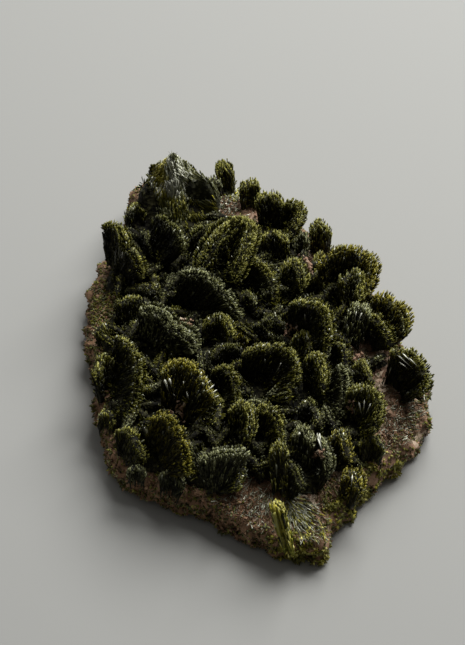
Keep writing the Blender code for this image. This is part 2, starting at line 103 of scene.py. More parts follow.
@dataclass(frozen=True)
class Spray:
    """A fan of crystals that radiate from a short foot to a curved crest."""

    foot: tuple[float, float]
    reach: float
    crest: tuple[tuple[float, float], ...]
    thickness: float = 2.6
    tone: Tone = Tone.OLIVE
    node: str = ""
    # pale: how much lighter the faces and flanks are, partly a paler colour and partly light painted on faces in shade.
    pale: float = 0.0


MOUNDS = (
    Mound(-18.0, 32.0, 6.0, 6.0),
    Mound(-23.2, 29.4, 6.0, 3.2),
    Mound(-6.0, 12.0, 1.6, 12.0),
    Mound(10.0, 10.0, 1.8, 12.0),
    Mound(-20.0, -4.0, 1.0, 10.0),
    Mound(20.0, -8.0, 1.2, 10.0),
    Mound(2.0, -18.0, 0.8, 10.0),
    Mound(8.0, -34.0, -1.2, 8.0),
    Mound(-10.0, 30.6, -0.6, 5.0),
)

BARE_PATCHES = (
    Mound(-1.0, -31.5, 0.0, 8.0),
    Mound(9.5, -32.0, 0.0, 5.4),
    Mound(29.4, -12.4, 0.0, 8.5),
    Mound(29.2, 0.2, 0.0, 3.2),
    Mound(-31.5, 10.0, 0.0, 4.5),
    Mound(-6.2, 30.6, 0.0, 4.6),
    Mound(10.5, 20.0, 0.0, 3.2),
    Mound(19.0, 2.4, 0.0, 2.4),
    Mound(6.5, 5.0, 0.0, 2.2),
    Mound(-16.6, -10.4, 0.0, 1.8),
)

MOSS, OLIVE, GREY, GOLD, BACKLIT = Tone.MOSS, Tone.OLIVE, Tone.GREY, Tone.GOLD, Tone.BACKLIT

GROWN_SPRAYS = (
    Spray((-9.8, 31.8), 6.5, ((-11.4, 35.4), (-9.4, 37.0), (-7.8, 36.0)), 2.4, GREY, "", 0.5),
    Spray((-28.4, 17.0), 13.0, ((-31.2, 28.0), (-28.4, 28.0), (-26.4, 24.2), (-24.2, 21.0), (-22.8, 17.0))),
    Spray((-25.0, 27.0), 5.5, ((-26.8, 30.2), (-24.8, 31.8), (-23.0, 30.8)), 2.0),
    Spray((-21.0, 19.0), 12.0, ((-20.0, 30.0), (-17.6, 28.6), (-15.6, 26.2), (-14.6, 23.0)), 2.6, MOSS),
    Spray((-11.0, 20.0), 9.5, ((-14.4, 25.4), (-12.0, 27.2), (-9.0, 27.8), (-6.2, 28.4)), 2.6, MOSS),
    Spray((-9.4, 17.6), 12.0, ((-12.4, 19.0), (-10.4, 23.4), (-8.0, 26.4), (-5.0, 28.8)), 4.6, OLIVE, "", 0.42),
    Spray((-6.4, 17.0), 13.0, ((-4.6, 29.4), (-0.8, 27.4), (-2.0, 22.0), (-4.4, 16.0)), 3.8, OLIVE, "", 0.38),
    Spray((-13.0, 9.4), 12.0, ((-15.6, 18.4), (-12.0, 18.2), (-9.4, 17.2), (-6.0, 13.4), (-2.8, 8.6)), 2.6, GREY),
    Spray((-22.4, 11.6), 5.4, ((-26.0, 15.0), (-23.0, 15.6), (-20.0, 15.4)), 2.0),
    Spray((-26.0, 6.6), 8.0, ((-29.0, 12.2), (-26.4, 13.2), (-24.0, 13.4)), 2.2),
    Spray((-21.0, 2.0), 11.5, ((-23.4, 11.4), (-19.4, 10.4), (-16.0, 7.2), (-12.8, 5.0), (-12.0, 2.0)), 4.6, GREY, "", 0.48),
    Spray((-28.6, -6.0), 11.0, ((-28.0, 5.6), (-24.4, 2.6), (-23.4, -2.0), (-24.0, -7.0), (-26.0, -13.0)), 2.6),
    Spray((-16.6, -11.0), 13.0, ((-19.4, -1.2), (-16.0, 0.8), (-12.0, -1.4), (-8.4, -7.0)), 2.6, GOLD, "", 0.1),
    Spray((-11.2, -12.4), 6.6, ((-9.4, -5.8), (-7.0, -8.0), (-7.6, -11.0), (-9.6, -13.2)), 2.2),
    Spray((-20.0, -20.4), 12.0, ((-21.4, -10.4), (-18.4, -10.2), (-15.4, -14.0), (-14.0, -19.0), (-13.6, -23.0)), 2.6, GOLD, "", 0.1),
    Spray((-8.0, -26.2), 11.0, ((-12.4, -19.0), (-9.0, -17.8), (-5.0, -17.4), (-2.0, -17.6)), 2.6, GREY, "", 0.22),
    Spray((-7.0, -25.0), 5.6, ((-3.6, -20.4), (-3.0, -23.0), (-4.4, -26.0)), 2.0),
    Spray((-8.4, -8.0), 9.0, ((-8.8, -1.2), (-6.6, -0.8), (-4.2, -3.6), (-3.8, -8.0), (-5.0, -12.0)), 2.2),
    Spray((-6.4, -2.4), 8.0, ((-10.0, 1.6), (-8.0, 3.6), (-3.0, 3.2)), 2.2, MOSS),
    Spray((1.0, -5.4), 12.0, ((-3.0, 2.4), (1.0, 3.4), (5.6, 3.4), (8.4, -1.6), (6.8, -6.6), (3.6, -7.8)), 2.6, OLIVE, "", 0.04),
    Spray((0.4, -16.0), 9.5, ((-1.4, -9.2), (2.0, -8.8), (4.6, -12.0), (5.0, -17.0)), 2.2, OLIVE, "", 0.26),
    Spray((9.0, 3.0), 12.0, ((6.4, 12.4), (9.6, 12.4), (13.2, 11.2), (14.6, 6.6), (14.0, 2.6)), 2.8),
    Spray((15.0, -0.6), 6.0, ((15.4, 4.0), (17.4, 2.6), (18.2, -2.0)), 2.0),
    Spray((13.0, -8.0), 10.0, ((16.8, -0.6), (18.0, -3.6), (17.6, -9.0), (15.6, -14.0)), 2.8, GREY, "", 0.14),
    Spray((19.6, -13.8), 11.0, ((17.8, -5.2), (21.6, -4.4), (24.6, -8.0), (23.8, -13.8)), 2.4, OLIVE, "", 0.36),
    Spray((2.0, 26.6), 9.0, ((-1.0, 32.8), (1.8, 34.2), (4.6, 32.4)), 3.4),
    Spray((5.6, 24.6), 9.5, ((5.2, 32.2), (8.0, 32.4), (9.0, 30.2), (7.6, 27.0), (5.6, 24.0)), 2.6, OLIVE, "", 0.2),
    Spray((17.0, 13.6), 12.0, ((11.6, 20.0), (14.0, 22.4), (19.4, 23.2), (23.4, 20.0), (22.4, 14.0)), 3.8, GOLD, "", 0.06),
    Spray((18.0, 9.4), 10.0, ((16.0, 17.0), (18.8, 18.8), (21.2, 17.4), (20.4, 13.0)), 2.6, OLIVE, "", 0.16),
    Spray((22.4, 3.0), 8.4, ((22.2, 10.2), (24.2, 8.4), (26.2, 5.6), (27.0, 2.6))),
    Spray((18.0, 2.8), 9.6, ((18.2, 11.2), (20.4, 12.0), (22.4, 10.2)), 3.0, GREY, "", 0.25),
    Spray((-2.0, 14.0), 8.6, ((-2.6, 21.4), (0.8, 19.8), (3.6, 15.6), (4.0, 10.4)), 2.4, OLIVE, "", 0.06),
    Spray((-2.4, 9.4), 5.4, ((-4.2, 13.4), (-2.4, 14.4), (-0.8, 12.8)), 2.2, MOSS),
    Spray((-4.4, 1.8), 5.4, ((-4.6, 5.8), (-3.4, 6.6), (-2.2, 4.8)), 1.8, GOLD),
    Spray((11.2, 13.0), 6.0, ((10.2, 17.2), (11.6, 18.2), (12.8, 16.4)), 2.2),
    Spray((3.0, 19.4), 8.0, ((0.2, 25.6), (3.0, 26.6), (5.8, 24.6)), 2.6, OLIVE),
    Spray((6.4, 13.4), 8.6, ((4.6, 19.4), (7.0, 21.0), (9.0, 17.6), (8.8, 14.6)), 2.6, OLIVE, "", 0.08),
    Spray((2.4, 4.4), 6.4, ((0.2, 8.4), (2.8, 9.8), (5.0, 7.6)), 2.2, MOSS),
    Spray((-9.0, 3.0), 8.0, ((-11.2, 8.2), (-8.0, 9.8), (-5.6, 7.6), (-5.0, 4.0)), 2.2),
    Spray((-31.4, -7.0), 8.8, ((-33.2, -2.2), (-31.8, 1.6), (-29.4, 1.2)), 2.2),
    Spray((-26.4, -20.4), 8.0, ((-28.6, -13.2), (-25.4, -13.6), (-22.2, -19.4)), 2.2),
    Spray((-17.6, -26.4), 5.4, ((-20.0, -22.0), (-17.0, -21.2), (-15.0, -24.0)), 2.0, GREY),
    Spray((20.0, -5.6), 6.2, ((18.8, -0.2), (20.8, 0.4), (23.0, -4.0)), 2.0),
    Spray((10.4, -7.6), 10.0, ((9.2, 1.4), (11.6, 2.0), (13.2, -1.0), (13.2, -5.4)), 2.4, OLIVE),
    Spray((9.4, -14.0), 7.4, ((7.8, -8.4), (10.4, -7.4), (13.0, -12.6)), 2.2, MOSS),
    Spray((-4.0, -17.0), 10.0, ((-6.0, -8.6), (-3.2, -7.8), (-1.2, -10.6), (-1.6, -15.0)), 2.4, OLIVE, "", 0.24),
    Spray((22.4, -19.6), 6.0, ((20.0, -15.6), (22.8, -14.4), (25.0, -16.6)), 2.2),
    Spray((8.4, -21.0), 9.0, ((6.8, -13.8), (9.0, -12.8), (10.8, -15.6)), 2.2, GREY, "", 0.2),
    Spray((11.6, -24.0), 9.6, ((10.8, -14.6), (12.8, -15.0), (14.2, -18.8), (14.0, -22.4)), 2.2, GREY),
    Spray((5.4, -26.0), 7.6, ((4.4, -19.6), (6.8, -20.2), (9.2, -25.0)), 2.2, MOSS),
    Spray((15.6, -20.4), 7.4, ((14.4, -14.4), (16.8, -14.0), (18.6, -19.4)), 2.4, GOLD, "", 0.2),
    Spray((4.2, -26.8), 11.0, ((2.0, -16.6), (3.6, -15.2), (5.4, -17.2)), 2.0, OLIVE, "", 0.26),
    Spray((8.6, -0.4), 6.4, ((6.2, 5.0), (8.4, 6.6), (10.4, 5.2), (10.6, 2.6)), 1.8, OLIVE, "", 0.08),
    Spray((12.2, -1.6), 6.6, ((11.0, 5.2), (12.8, 5.4), (13.6, 2.0)), 1.8, GREY, "", 0.08),
    Spray((-31.0, 3.6), 4.4, ((-33.0, 6.6), (-31.4, 7.8), (-29.6, 6.8)), 1.8, OLIVE, "", 0.1),
    Spray((-30.6, -13.6), 4.4, ((-32.2, -10.4), (-30.6, -9.4), (-29.0, -10.8)), 1.8, OLIVE, "", 0.1),
    Spray((-24.6, -24.4), 4.4, ((-26.4, -21.4), (-24.8, -20.4), (-23.0, -21.6)), 1.8, GREY, "", 0.1),
    Spray((8.0, 21.4), 5.4, ((6.6, 24.8), (8.4, 26.4), (9.8, 24.8)), 1.8, GREY, "", 0.6),
    Spray((12.2, 17.4), 4.6, ((10.6, 21.0), (12.2, 22.0), (13.6, 20.6)), 1.8, OLIVE, "", 0.2),
)

RIM_SPRAYS = (
    Spray((-6.4, 34.4), 6.6, ((-8.8, 38.6), (-7.4, 40.2), (-5.8, 38.8)), 2.6, OLIVE, "far_spray_1", 0.35),
    Spray((-2.2, 31.0), 6.8, ((-3.8, 35.4), (-2.2, 36.6), (-0.2, 35.6)), 2.6, OLIVE, "far_spray_2", 0.4),
    Spray((12.0, 21.8), 8.0, ((10.2, 27.4), (11.8, 28.4), (14.0, 26.6)), 2.8, OLIVE, "far_spray_3", 0.7),
    Spray((24.0, 4.6), 10.6, ((22.8, 13.2), (25.6, 13.8), (29.6, 10.4), (30.0, 6.0)), 3.0, GOLD, "right_spray_1", 0.6),
    Spray((27.6, -5.8), 10.6, ((26.8, 2.8), (30.0, 2.4), (34.4, -2.2), (33.4, -6.2)), 3.0, OLIVE, "right_spray_2"),
    Spray((17.6, -27.0), 6.6, ((16.8, -22.2), (19.2, -21.2), (20.8, -25.6)), 3.0, GOLD, "front_spray_1", 0.25),
    Spray((6.0, -37.4), 11.0, ((2.0, -28.7), (3.1, -27.7), (4.3, -28.8)), 1.8, BACKLIT, "front_spray_2", 0.6),
)


@dataclass(frozen=True)
class StrandField:
    """A patch of rock with flat-lying crystals that fan out from a source."""

    source: tuple[float, float]
    centre: tuple[float, float]
    radius: float
    count: int
    tangle: float
    tones: tuple[Tone, ...]
    width: float = 0.26
    longest: float = 4.6


STRAND_FIELDS = (
    StrandField((4.6, -26.6), (7.4, -30.6), 3.3, 400, 0.26, (Tone.PALE, Tone.BACKLIT, Tone.PALE, Tone.GREY), 0.28, 4.2),
    StrandField((0.0, -20.0), (-3.5, -30.0), 8.0, 1500, 1.1, (Tone.BROWN, Tone.BROWN, Tone.BROWN, Tone.PALE), 0.2, 2.6),
    StrandField((3.0, -24.0), (1.0, -28.0), 2.6, 60, 0.2, (Tone.PALE, Tone.GREY), 0.24),
    StrandField((5.0, -28.0), (10.5, -35.6), 4.2, 300, 0.45, (Tone.PALE, Tone.BROWN, Tone.GREY, Tone.BACKLIT), 0.24, 3.2),
    StrandField((11.0, -20.0), (13.4, -25.6), 3.4, 240, 0.6, (Tone.OLIVE, Tone.GREY, Tone.BROWN), 0.22, 3.2),
    StrandField((20.0, -20.0), (29.0, -12.0), 7.0, 420, 0.7, (Tone.BROWN, Tone.GREY, Tone.BROWN, Tone.PALE), 0.2),
    StrandField((24.0, -10.0), (29.5, -13.0), 6.5, 600, 1.6, (Tone.BROWN, Tone.BROWN, Tone.PALE, Tone.BROWN), 0.24, 2.0),
    StrandField((-6.0, 27.0), (-7.0, 30.4), 3.8, 260, 1.2, (Tone.BROWN, Tone.GREY, Tone.BROWN, Tone.PALE), 0.3, 2.4),
    StrandField((-6.0, 29.0), (-5.2, 33.2), 2.4, 180, 0.5, (Tone.PALE, Tone.GREY, Tone.BACKLIT), 0.3, 2.6),
    StrandField((-30.0, 2.0), (-31.5, 10.0), 5.4, 700, 2.0, (Tone.OLIVE, Tone.GREY, Tone.OLIVE, Tone.BROWN), 0.46, 1.7),
    StrandField((-28.0, -6.0), (-30.6, -11.0), 5.4, 480, 2.0, (Tone.OLIVE, Tone.GREY, Tone.OLIVE, Tone.BROWN), 0.46, 1.7),
)


@dataclass(frozen=True)
class Glint:
    """A long bright crystal on a fan's face, mostly a painted highlight: the fan's foot and where both ends are seen.
    """

    foot: tuple[float, float]
    start: tuple[float, float]
    end: tuple[float, float]
    width: float = 0.5
    tone: Tone = Tone.PALE


# Most rows are pale bars that paint highlights where crystals catch the light; the gold, olive and backlit rows at the
# front spray make its blade.
GLINTS = (
    Glint((-16.6, -11.0), (-19.5, -3.8), (-18.1, -6.8), 0.65),
    Glint((-16.6, -11.0), (-18.3, -3.4), (-17.2, -6.2), 0.65),
    Glint((-16.6, -11.0), (-14.4, -6.1), (-13.9, -8.0), 0.5),
    Glint((-16.6, -11.0), (-17.4, -6.4), (-16.6, -7.4), 0.3),
    Glint((-16.6, -11.0), (-15.2, -4.0), (-15.0, -5.2), 0.3),
    Glint((11.6, -24.0), (10.6, -14.0), (12.8, -17.8), 0.7),
    Glint((11.6, -24.0), (11.4, -13.8), (13.2, -17.0), 0.5),
    Glint((11.6, -24.0), (12.0, -15.4), (13.4, -18.6), 0.4),
    Glint((27.6, -5.8), (27.6, 1.2), (31.0, -1.8), 0.45),
    Glint((27.6, -5.8), (28.6, 1.4), (30.8, -0.6), 0.35),
    Glint((27.6, -5.8), (28.0, 0.0), (29.8, -1.6), 0.35),
    Glint((27.6, -5.8), (30.0, 0.6), (32.0, -1.4), 0.35),
    Glint((19.6, -13.8), (20.0, -8.2), (20.6, -11.2), 0.45),
    Glint((19.6, -13.8), (21.2, -8.0), (20.9, -11.0), 0.35),
    Glint((19.6, -13.8), (22.4, -8.6), (21.2, -11.4), 0.35),
    Glint((19.6, -13.8), (18.8, -9.4), (19.4, -11.6), 0.3),
    Glint((17.6, -27.0), (18.4, -22.6), (18.6, -25.0), 0.4),
    Glint((6.0, -37.4), (2.4, -27.9), (4.4, -37.6), 1.8, GOLD),
    Glint((6.0, -37.4), (3.4, -28.1), (5.4, -38.0), 1.7, GOLD),
    Glint((6.0, -37.4), (2.0, -28.6), (3.8, -36.6), 0.8, BACKLIT),
    Glint((6.0, -37.4), (3.0, -28.0), (4.9, -38.2), 1.0, BACKLIT),
    Glint((6.0, -37.4), (4.0, -28.8), (6.0, -38.6), 0.8, BACKLIT),
    Glint((6.0, -37.4), (2.6, -30.0), (4.2, -38.4), 1.2, OLIVE),
    Glint((6.0, -37.4), (2.9, -28.4), (4.9, -37.4), 1.7, GOLD),
    Glint((9.0, 3.0), (9.0, 9.4), (9.4, 7.0), 0.25),
    Glint((18.0, 2.8), (19.2, 10.0), (18.6, 7.0), 0.3),
    Glint((18.0, 2.8), (20.4, 9.6), (19.2, 6.4), 0.3),
    Glint((-28.4, 17.0), (-27.2, 20.4), (-27.0, 22.0), 0.25),
    Glint((1.0, -5.4), (4.4, -0.4), (3.4, -2.6), 0.25),
    Glint((1.0, -5.4), (0.8, 0.6), (0.9, -1.2), 0.25),
    Glint((-16.6, -11.0), (-10.6, -3.2), (-11.6, -5.2), 0.35),
    Glint((-16.6, -11.0), (-9.4, -5.0), (-10.8, -6.4), 0.35),
    Glint((-16.6, -11.0), (-11.6, -2.2), (-12.2, -3.4), 0.3),
    Glint((-16.6, -11.0), (-10.0, -4.2), (-11.0, -5.0), 0.3),
    Glint((-16.6, -11.0), (-8.8, -6.0), (-9.9, -6.8), 0.3),
    Glint((-16.6, -11.0), (-8.4, -7.2), (-9.6, -7.8), 0.3),
)


@dataclass(frozen=True)
class RockChip:
    """A chip of host rock caught on a fan's face: the fan's foot, where it is seen, and half its size."""

    foot: tuple[float, float]
    place: tuple[float, float]
    size: tuple[float, float]
    grains: int = 26


ROCK_CHIPS = (
    RockChip((-21.0, 2.0), (-15.0, 7.2), (1.2, 0.9)),
    RockChip((-22.4, 11.6), (-20.4, 6.2), (0.5, 0.9), 14),
    RockChip((-16.6, -11.0), (-15.9, -10.4), (0.7, 2.2)),
    RockChip((9.0, 3.0), (6.6, 5.2), (1.2, 2.2), 40),
    RockChip((6.4, 13.4), (10.6, 19.6), (1.2, 2.4), 40),
    RockChip((20.0, -5.6), (18.8, 2.2), (1.8, 1.4), 40),
    RockChip((11.6, -24.0), (11.4, -18.8), (1.9, 0.8), 40),
    RockChip((10.4, -7.6), (8.4, -10.0), (0.5, 1.4), 16),
    RockChip((19.6, -13.8), (18.2, -9.0), (0.5, 1.2), 14),
)


def linear(colour: str) -> tuple[float, float, float, float]:
    """Turn an sRGB colour into the linear one that shaders take.

    Args:
        colour: Six hex digits after a hash sign.

    Returns:
        Red, green, blue and full alpha.
    """
    shares = [int(colour[index:index + 2], 16) / 255.0 for index in (1, 3, 5)]
    return (*(s / 12.92 if s <= 0.04045 else ((s + 0.055) / 1.055) ** 2.4 for s in shares), 1.0)


def add_node(
    tree: bpy.types.NodeTree, kind: str, sockets: dict | None = None, stops: tuple = (), **settings: object
) -> bpy.types.Node:
    """Add one node with its settings and links.

    Args:
        tree: The material's or world's nodes.
        kind: Blender's name for the type of node.
        sockets: For each input, the output that feeds it or its value.
        stops: For a colour ramp, each stop's position and colour.
        settings: The node's other properties.

    Returns:
        The new node.
    """
    node = tree.nodes.new(kind)
    for name, value in settings.items():
        setattr(node, name, value)
    for name, source in (sockets or {}).items():
        if isinstance(source, bpy.types.NodeSocket):
            tree.links.new(source, node.inputs[name])
        else:
            node.inputs[name].default_value = source
    if stops:
        elements = node.color_ramp.elements
        while len(elements) < len(stops):
            elements.new(0.5)
        for element, (place, colour) in zip(elements, stops):
            element.position = place
            element.color = colour
    return node


def new_material(name: str) -> tuple[bpy.types.Material, bpy.types.NodeTree]:
    """Start a material with no nodes.

    Args:
        name: The finish's name.

    Returns:
        The material and its tree of nodes.
    """
    material = bpy.data.materials.new(name)
    material.use_nodes = True
    material.node_tree.nodes.clear()
    return material, material.node_tree


def close_material(tree: bpy.types.NodeTree, shader: bpy.types.Node) -> None:
    """Lead a shader to the tree's output.

    Args:
        tree: The material's nodes.
        shader: The node whose first output is the finished surface.
    """
    add_node(tree, "ShaderNodeOutputMaterial", {"Surface": shader.outputs[0]})


@dataclass(frozen=True)
class EpidoteCrystal:
    """Epidote: glassy prisms, near black in the body and olive where light gets through.

    Each prism grew with bright flat faces, so it takes small sharp glints. A body
    over half a millimetre thick lets out almost no light, and only the thin tips show
    the yellow green of the stone. The finish reads the crystal's own map: across it
    lies the tone and each crystal's own shade, and up it the way from root to tip,
    with painted light and shade: pale where light falls on the crests and near black
    on faces in shade.
    """

    tips: tuple[str, ...] = ("#72723a", "#98954e", "#9b9d74", "#9c943e", "#eeeedc", "#a5866a", "#d8d286")
    middles: tuple[str, ...] = ("#2c2c0c", "#545210", "#4e4f2e", "#60590d", "#a2a48c", "#72543c", "#a0982f")
    roots: tuple[str, ...] = ("#050401", "#070601", "#080702", "#0b0a01", "#23261d", "#24140b", "#52560f")
    middle_height: float = 0.5
    roughness: tuple[float, float] = (0.42, 0.3)
    ior: float = 1.75
    sheen_kept: float = 0.1
    shade_range: tuple[float, float] = (0.42, 2.0)
    shade_power: float = 1.7
    striations: float = 900.0

    def ramp(self, tree: bpy.types.NodeTree, across: bpy.types.NodeSocket, colours: tuple[str, ...]) -> bpy.types.NodeSocket:
        """Pick a colour by the tone that the crystal's map holds.

        Args:
            tree: The material's nodes.
            across: The map's first coordinate.
            colours: One colour for each tone.

        Returns:
            The colour.
        """
        stops = tuple((index / len(colours), linear(colour)) for index, colour in enumerate(colours))
        node = add_node(tree, "ShaderNodeValToRGB", {"Fac": across}, stops)
        node.color_ramp.interpolation = "CONSTANT"
        return node.outputs["Color"]

    def material(self) -> bpy.types.Material:
        """Make the finish.

        Returns:
            The material.
        """
        material, tree = new_material("epidote_crystal")
        place = add_node(tree, "ShaderNodeUVMap", uv_map="OFBake")
        split = add_node(tree, "ShaderNodeSeparateXYZ", {"Vector": place.outputs["UV"]})
        across, height = split.outputs["X"], split.outputs["Y"]
        # The map's second coordinate is painted light and shade along each prism, from its root's value to its tip's.
        low = add_node(tree, "ShaderNodeMapRange", {
            "Value": height, "From Min": 0.0, "From Max": self.middle_height})
        high = add_node(tree, "ShaderNodeMapRange", {
            "Value": height, "From Min": self.middle_height, "From Max": 1.0})
        body = add_node(tree, "ShaderNodeMixRGB", {
            "Fac": low.outputs[0], "Color1": self.ramp(tree, across, self.roots),
            "Color2": self.ramp(tree, across, self.middles)})
        whole = add_node(tree, "ShaderNodeMixRGB", {
            "Fac": high.outputs[0], "Color1": body.outputs[0],
            "Color2": self.ramp(tree, across, self.tips)})
        spread = add_node(tree, "ShaderNodeMath", {0: across, 1: float(len(Tone))}, operation="MULTIPLY")
        shade = add_node(tree, "ShaderNodeMath", {0: spread.outputs[0]}, operation="FRACT")
        curve = add_node(tree, "ShaderNodeMath", {0: shade.outputs[0], 1: self.shade_power}, operation="POWER")
        bright = add_node(tree, "ShaderNodeMapRange", {
            "Value": curve.outputs[0], "To Min": self.shade_range[0], "To Max": self.shade_range[1]})
        tint = add_node(tree, "ShaderNodeVectorMath", {
            0: whole.outputs[0], "Scale": bright.outputs[0]}, operation="SCALE")
        gloss = add_node(tree, "ShaderNodeMapRange", {
            "Value": height, "To Min": self.roughness[0], "To Max": self.roughness[1]})
        lines = add_node(tree, "ShaderNodeTexNoise", {
            "W": across, "Scale": self.striations, "Detail": 2.0}, noise_dimensions="1D")
        relief = add_node(tree, "ShaderNodeBump", {
            "Height": lines.outputs["Fac"], "Strength": 0.12, "Distance": 0.02 * MM})
        shader = add_node(tree, "ShaderNodeBsdfPrincipled", {
            "Base Color": tint.outputs[0], "Roughness": gloss.outputs[0], "IOR": self.ior,
            "Specular IOR Level": self.sheen_kept, "Normal": relief.outputs[0]})
        close_material(tree, shader)
        return material


@dataclass(frozen=True)
class EpidoteDruse:
    """Massive epidote: a crust of grains too small to tell apart, dull and dark between the sprays.

    Its grains of about half a millimetre point every way, so it takes no clear highlight.
    """

    name: str = "epidote_druse"
    dark: str = "#060502"
    green: str = "#24220c"
    grey: str = "#46442a"
    grain: float = 0.55
    roughness: float = 0.85
    ior: float = 1.75
    sheen_kept: float = 0.15

    def material(self) -> bpy.types.Material:
        """Make the finish.

        Returns:
            The material.
        """
        material, tree = new_material(self.name)
        place = add_node(tree, "ShaderNodeTexCoord").outputs["Object"]
        grains = add_node(tree, "ShaderNodeTexVoronoi", {"Vector": place, "Scale": 1.0 / (self.grain * MM)})
        cloud = add_node(tree, "ShaderNodeTexNoise", {
            "Vector": place, "Scale": 0.4 / MM, "Detail": 4.0, "Roughness": 0.6})
        ground = add_node(tree, "ShaderNodeValToRGB", {"Fac": cloud.outputs["Fac"]}, (
            (0.4, linear(self.dark)), (0.65, linear(self.green))))
        lit = add_node(tree, "ShaderNodeValToRGB", {"Fac": grains.outputs["Color"]}, (
            (0.6, (0.0, 0.0, 0.0, 1.0)), (0.85, (1.0, 1.0, 1.0, 1.0))))
        colour = add_node(tree, "ShaderNodeMixRGB", {
            "Fac": lit.outputs[0], "Color1": ground.outputs[0], "Color2": linear(self.grey)})
        relief = add_node(tree, "ShaderNodeBump", {
            "Height": grains.outputs["Distance"], "Strength": 0.9, "Distance": 0.2 * MM})
        shader = add_node(tree, "ShaderNodeBsdfPrincipled", {
            "Base Color": colour.outputs[0], "Roughness": self.roughness, "IOR": self.ior,
            "Specular IOR Level": self.sheen_kept, "Normal": relief.outputs[0]})
        close_material(tree, shader)
        return material


@dataclass(frozen=True)
class FelsparRock:
    """Felspar host rock: a broken, grainy stone of pinkish brown, stained by iron at its rim.

    Its cleaved grains are one to three millimetres across and scatter the light softly,
    with dusty olive specks where epidote has grown through it. The stain is a thin coat
    of rust, darker and rougher than the stone.
    """

    pink: str = "#a8856a"
    brown: str = "#6e503a"
    pale: str = "#d0baa0"
    rust: str = "#6e5037"
    rust_light: str = "#b48c68"
    speck: str = "#5e4a2e"
    grain: float = 1.4
    speck_size: float = 0.8
    roughness: tuple[float, float] = (0.62, 0.88)
    ior: float = 1.53

    def material(self) -> bpy.types.Material:
        """Make the finish.

        Returns:
            The material.
        """
        material, tree = new_material("felspar_rock")
        place = add_node(tree, "ShaderNodeTexCoord").outputs["Object"]
        cloud = add_node(tree, "ShaderNodeTexNoise", {
            "Vector": place, "Scale": 0.22 / MM, "Detail": 6.0, "Roughness": 0.6})
        grains = add_node(tree, "ShaderNodeTexVoronoi", {"Vector": place, "Scale": 1.0 / (self.grain * MM)})
        grit = add_node(tree, "ShaderNodeTexNoise", {
            "Vector": place, "Scale": 2.2 / MM, "Detail": 4.0, "Roughness": 0.7})
        base = add_node(tree, "ShaderNodeValToRGB", {"Fac": cloud.outputs["Fac"]}, (
            (0.38, linear(self.brown)), (0.62, linear(self.pink))))
        lit = add_node(tree, "ShaderNodeValToRGB", {"Fac": grains.outputs["Color"]}, (
            (0.62, (0.0, 0.0, 0.0, 1.0)), (0.9, (1.0, 1.0, 1.0, 1.0))))
        stone = add_node(tree, "ShaderNodeMixRGB", {
            "Fac": lit.outputs[0], "Color1": base.outputs[0], "Color2": linear(self.pale)})
        stain = add_node(tree, "ShaderNodeAttribute", attribute_name="rust")
        patchy = add_node(tree, "ShaderNodeMath", {
            0: stain.outputs["Fac"], 1: cloud.outputs["Fac"]}, operation="ADD")
        rusty = add_node(tree, "ShaderNodeMapRange", {
            "Value": patchy.outputs[0], "From Min": 0.7, "From Max": 1.15})
        rust = add_node(tree, "ShaderNodeMixRGB", {
            "Fac": grit.outputs["Fac"], "Color1": linear(self.rust), "Color2": linear(self.rust_light)})
        stained = add_node(tree, "ShaderNodeMixRGB", {
            "Fac": rusty.outputs[0], "Color1": stone.outputs[0], "Color2": rust.outputs[0]})
        flecks = add_node(tree, "ShaderNodeTexVoronoi", {
            "Vector": place, "Scale": 1.0 / (self.speck_size * MM)})
        fleck = add_node(tree, "ShaderNodeValToRGB", {"Fac": flecks.outputs["Color"]}, (
            (0.68, (0.0, 0.0, 0.0, 1.0)), (0.74, (1.0, 1.0, 1.0, 1.0))))
        colour = add_node(tree, "ShaderNodeMixRGB", {
            "Fac": fleck.outputs[0], "Color1": stained.outputs[0], "Color2": linear(self.speck)})
        dull = add_node(tree, "ShaderNodeMapRange", {
            "Value": grit.outputs["Fac"], "To Min": self.roughness[0], "To Max": self.roughness[1]})
        relief = add_node(tree, "ShaderNodeBump", {
            "Height": grit.outputs["Fac"], "Strength": 0.7, "Distance": 0.25 * MM})
        shader = add_node(tree, "ShaderNodeBsdfPrincipled", {
            "Base Color": colour.outputs[0], "Roughness": dull.outputs[0], "IOR": self.ior,
            "Normal": relief.outputs[0]})
        close_material(tree, shader)
        return material


@dataclass(frozen=True)
class StudioCard:
    """Studio card: pressed paper board, matte and plain, so it shows soft shadows and no glare."""

    colour: str = "#a4a4a0"
    roughness: float = 0.9
    ior: float = 1.45
    fibre: float = 0.6

    def material(self) -> bpy.types.Material:
        """Make the finish.

        Returns:
            The material.
        """
        material, tree = new_material("studio_card")
        place = add_node(tree, "ShaderNodeTexCoord").outputs["Object"]
        fibres = add_node(tree, "ShaderNodeTexNoise", {
            "Vector": place, "Scale": 1.0 / (self.fibre * MM), "Detail": 2.0})
        relief = add_node(tree, "ShaderNodeBump", {
            "Height": fibres.outputs["Fac"], "Strength": 0.04, "Distance": 0.05 * MM})
        shader = add_node(tree, "ShaderNodeBsdfPrincipled", {
            "Base Color": linear(self.colour), "Roughness": self.roughness, "IOR": self.ior,
            "Normal": relief.outputs[0]})
        close_material(tree, shader)
        return material


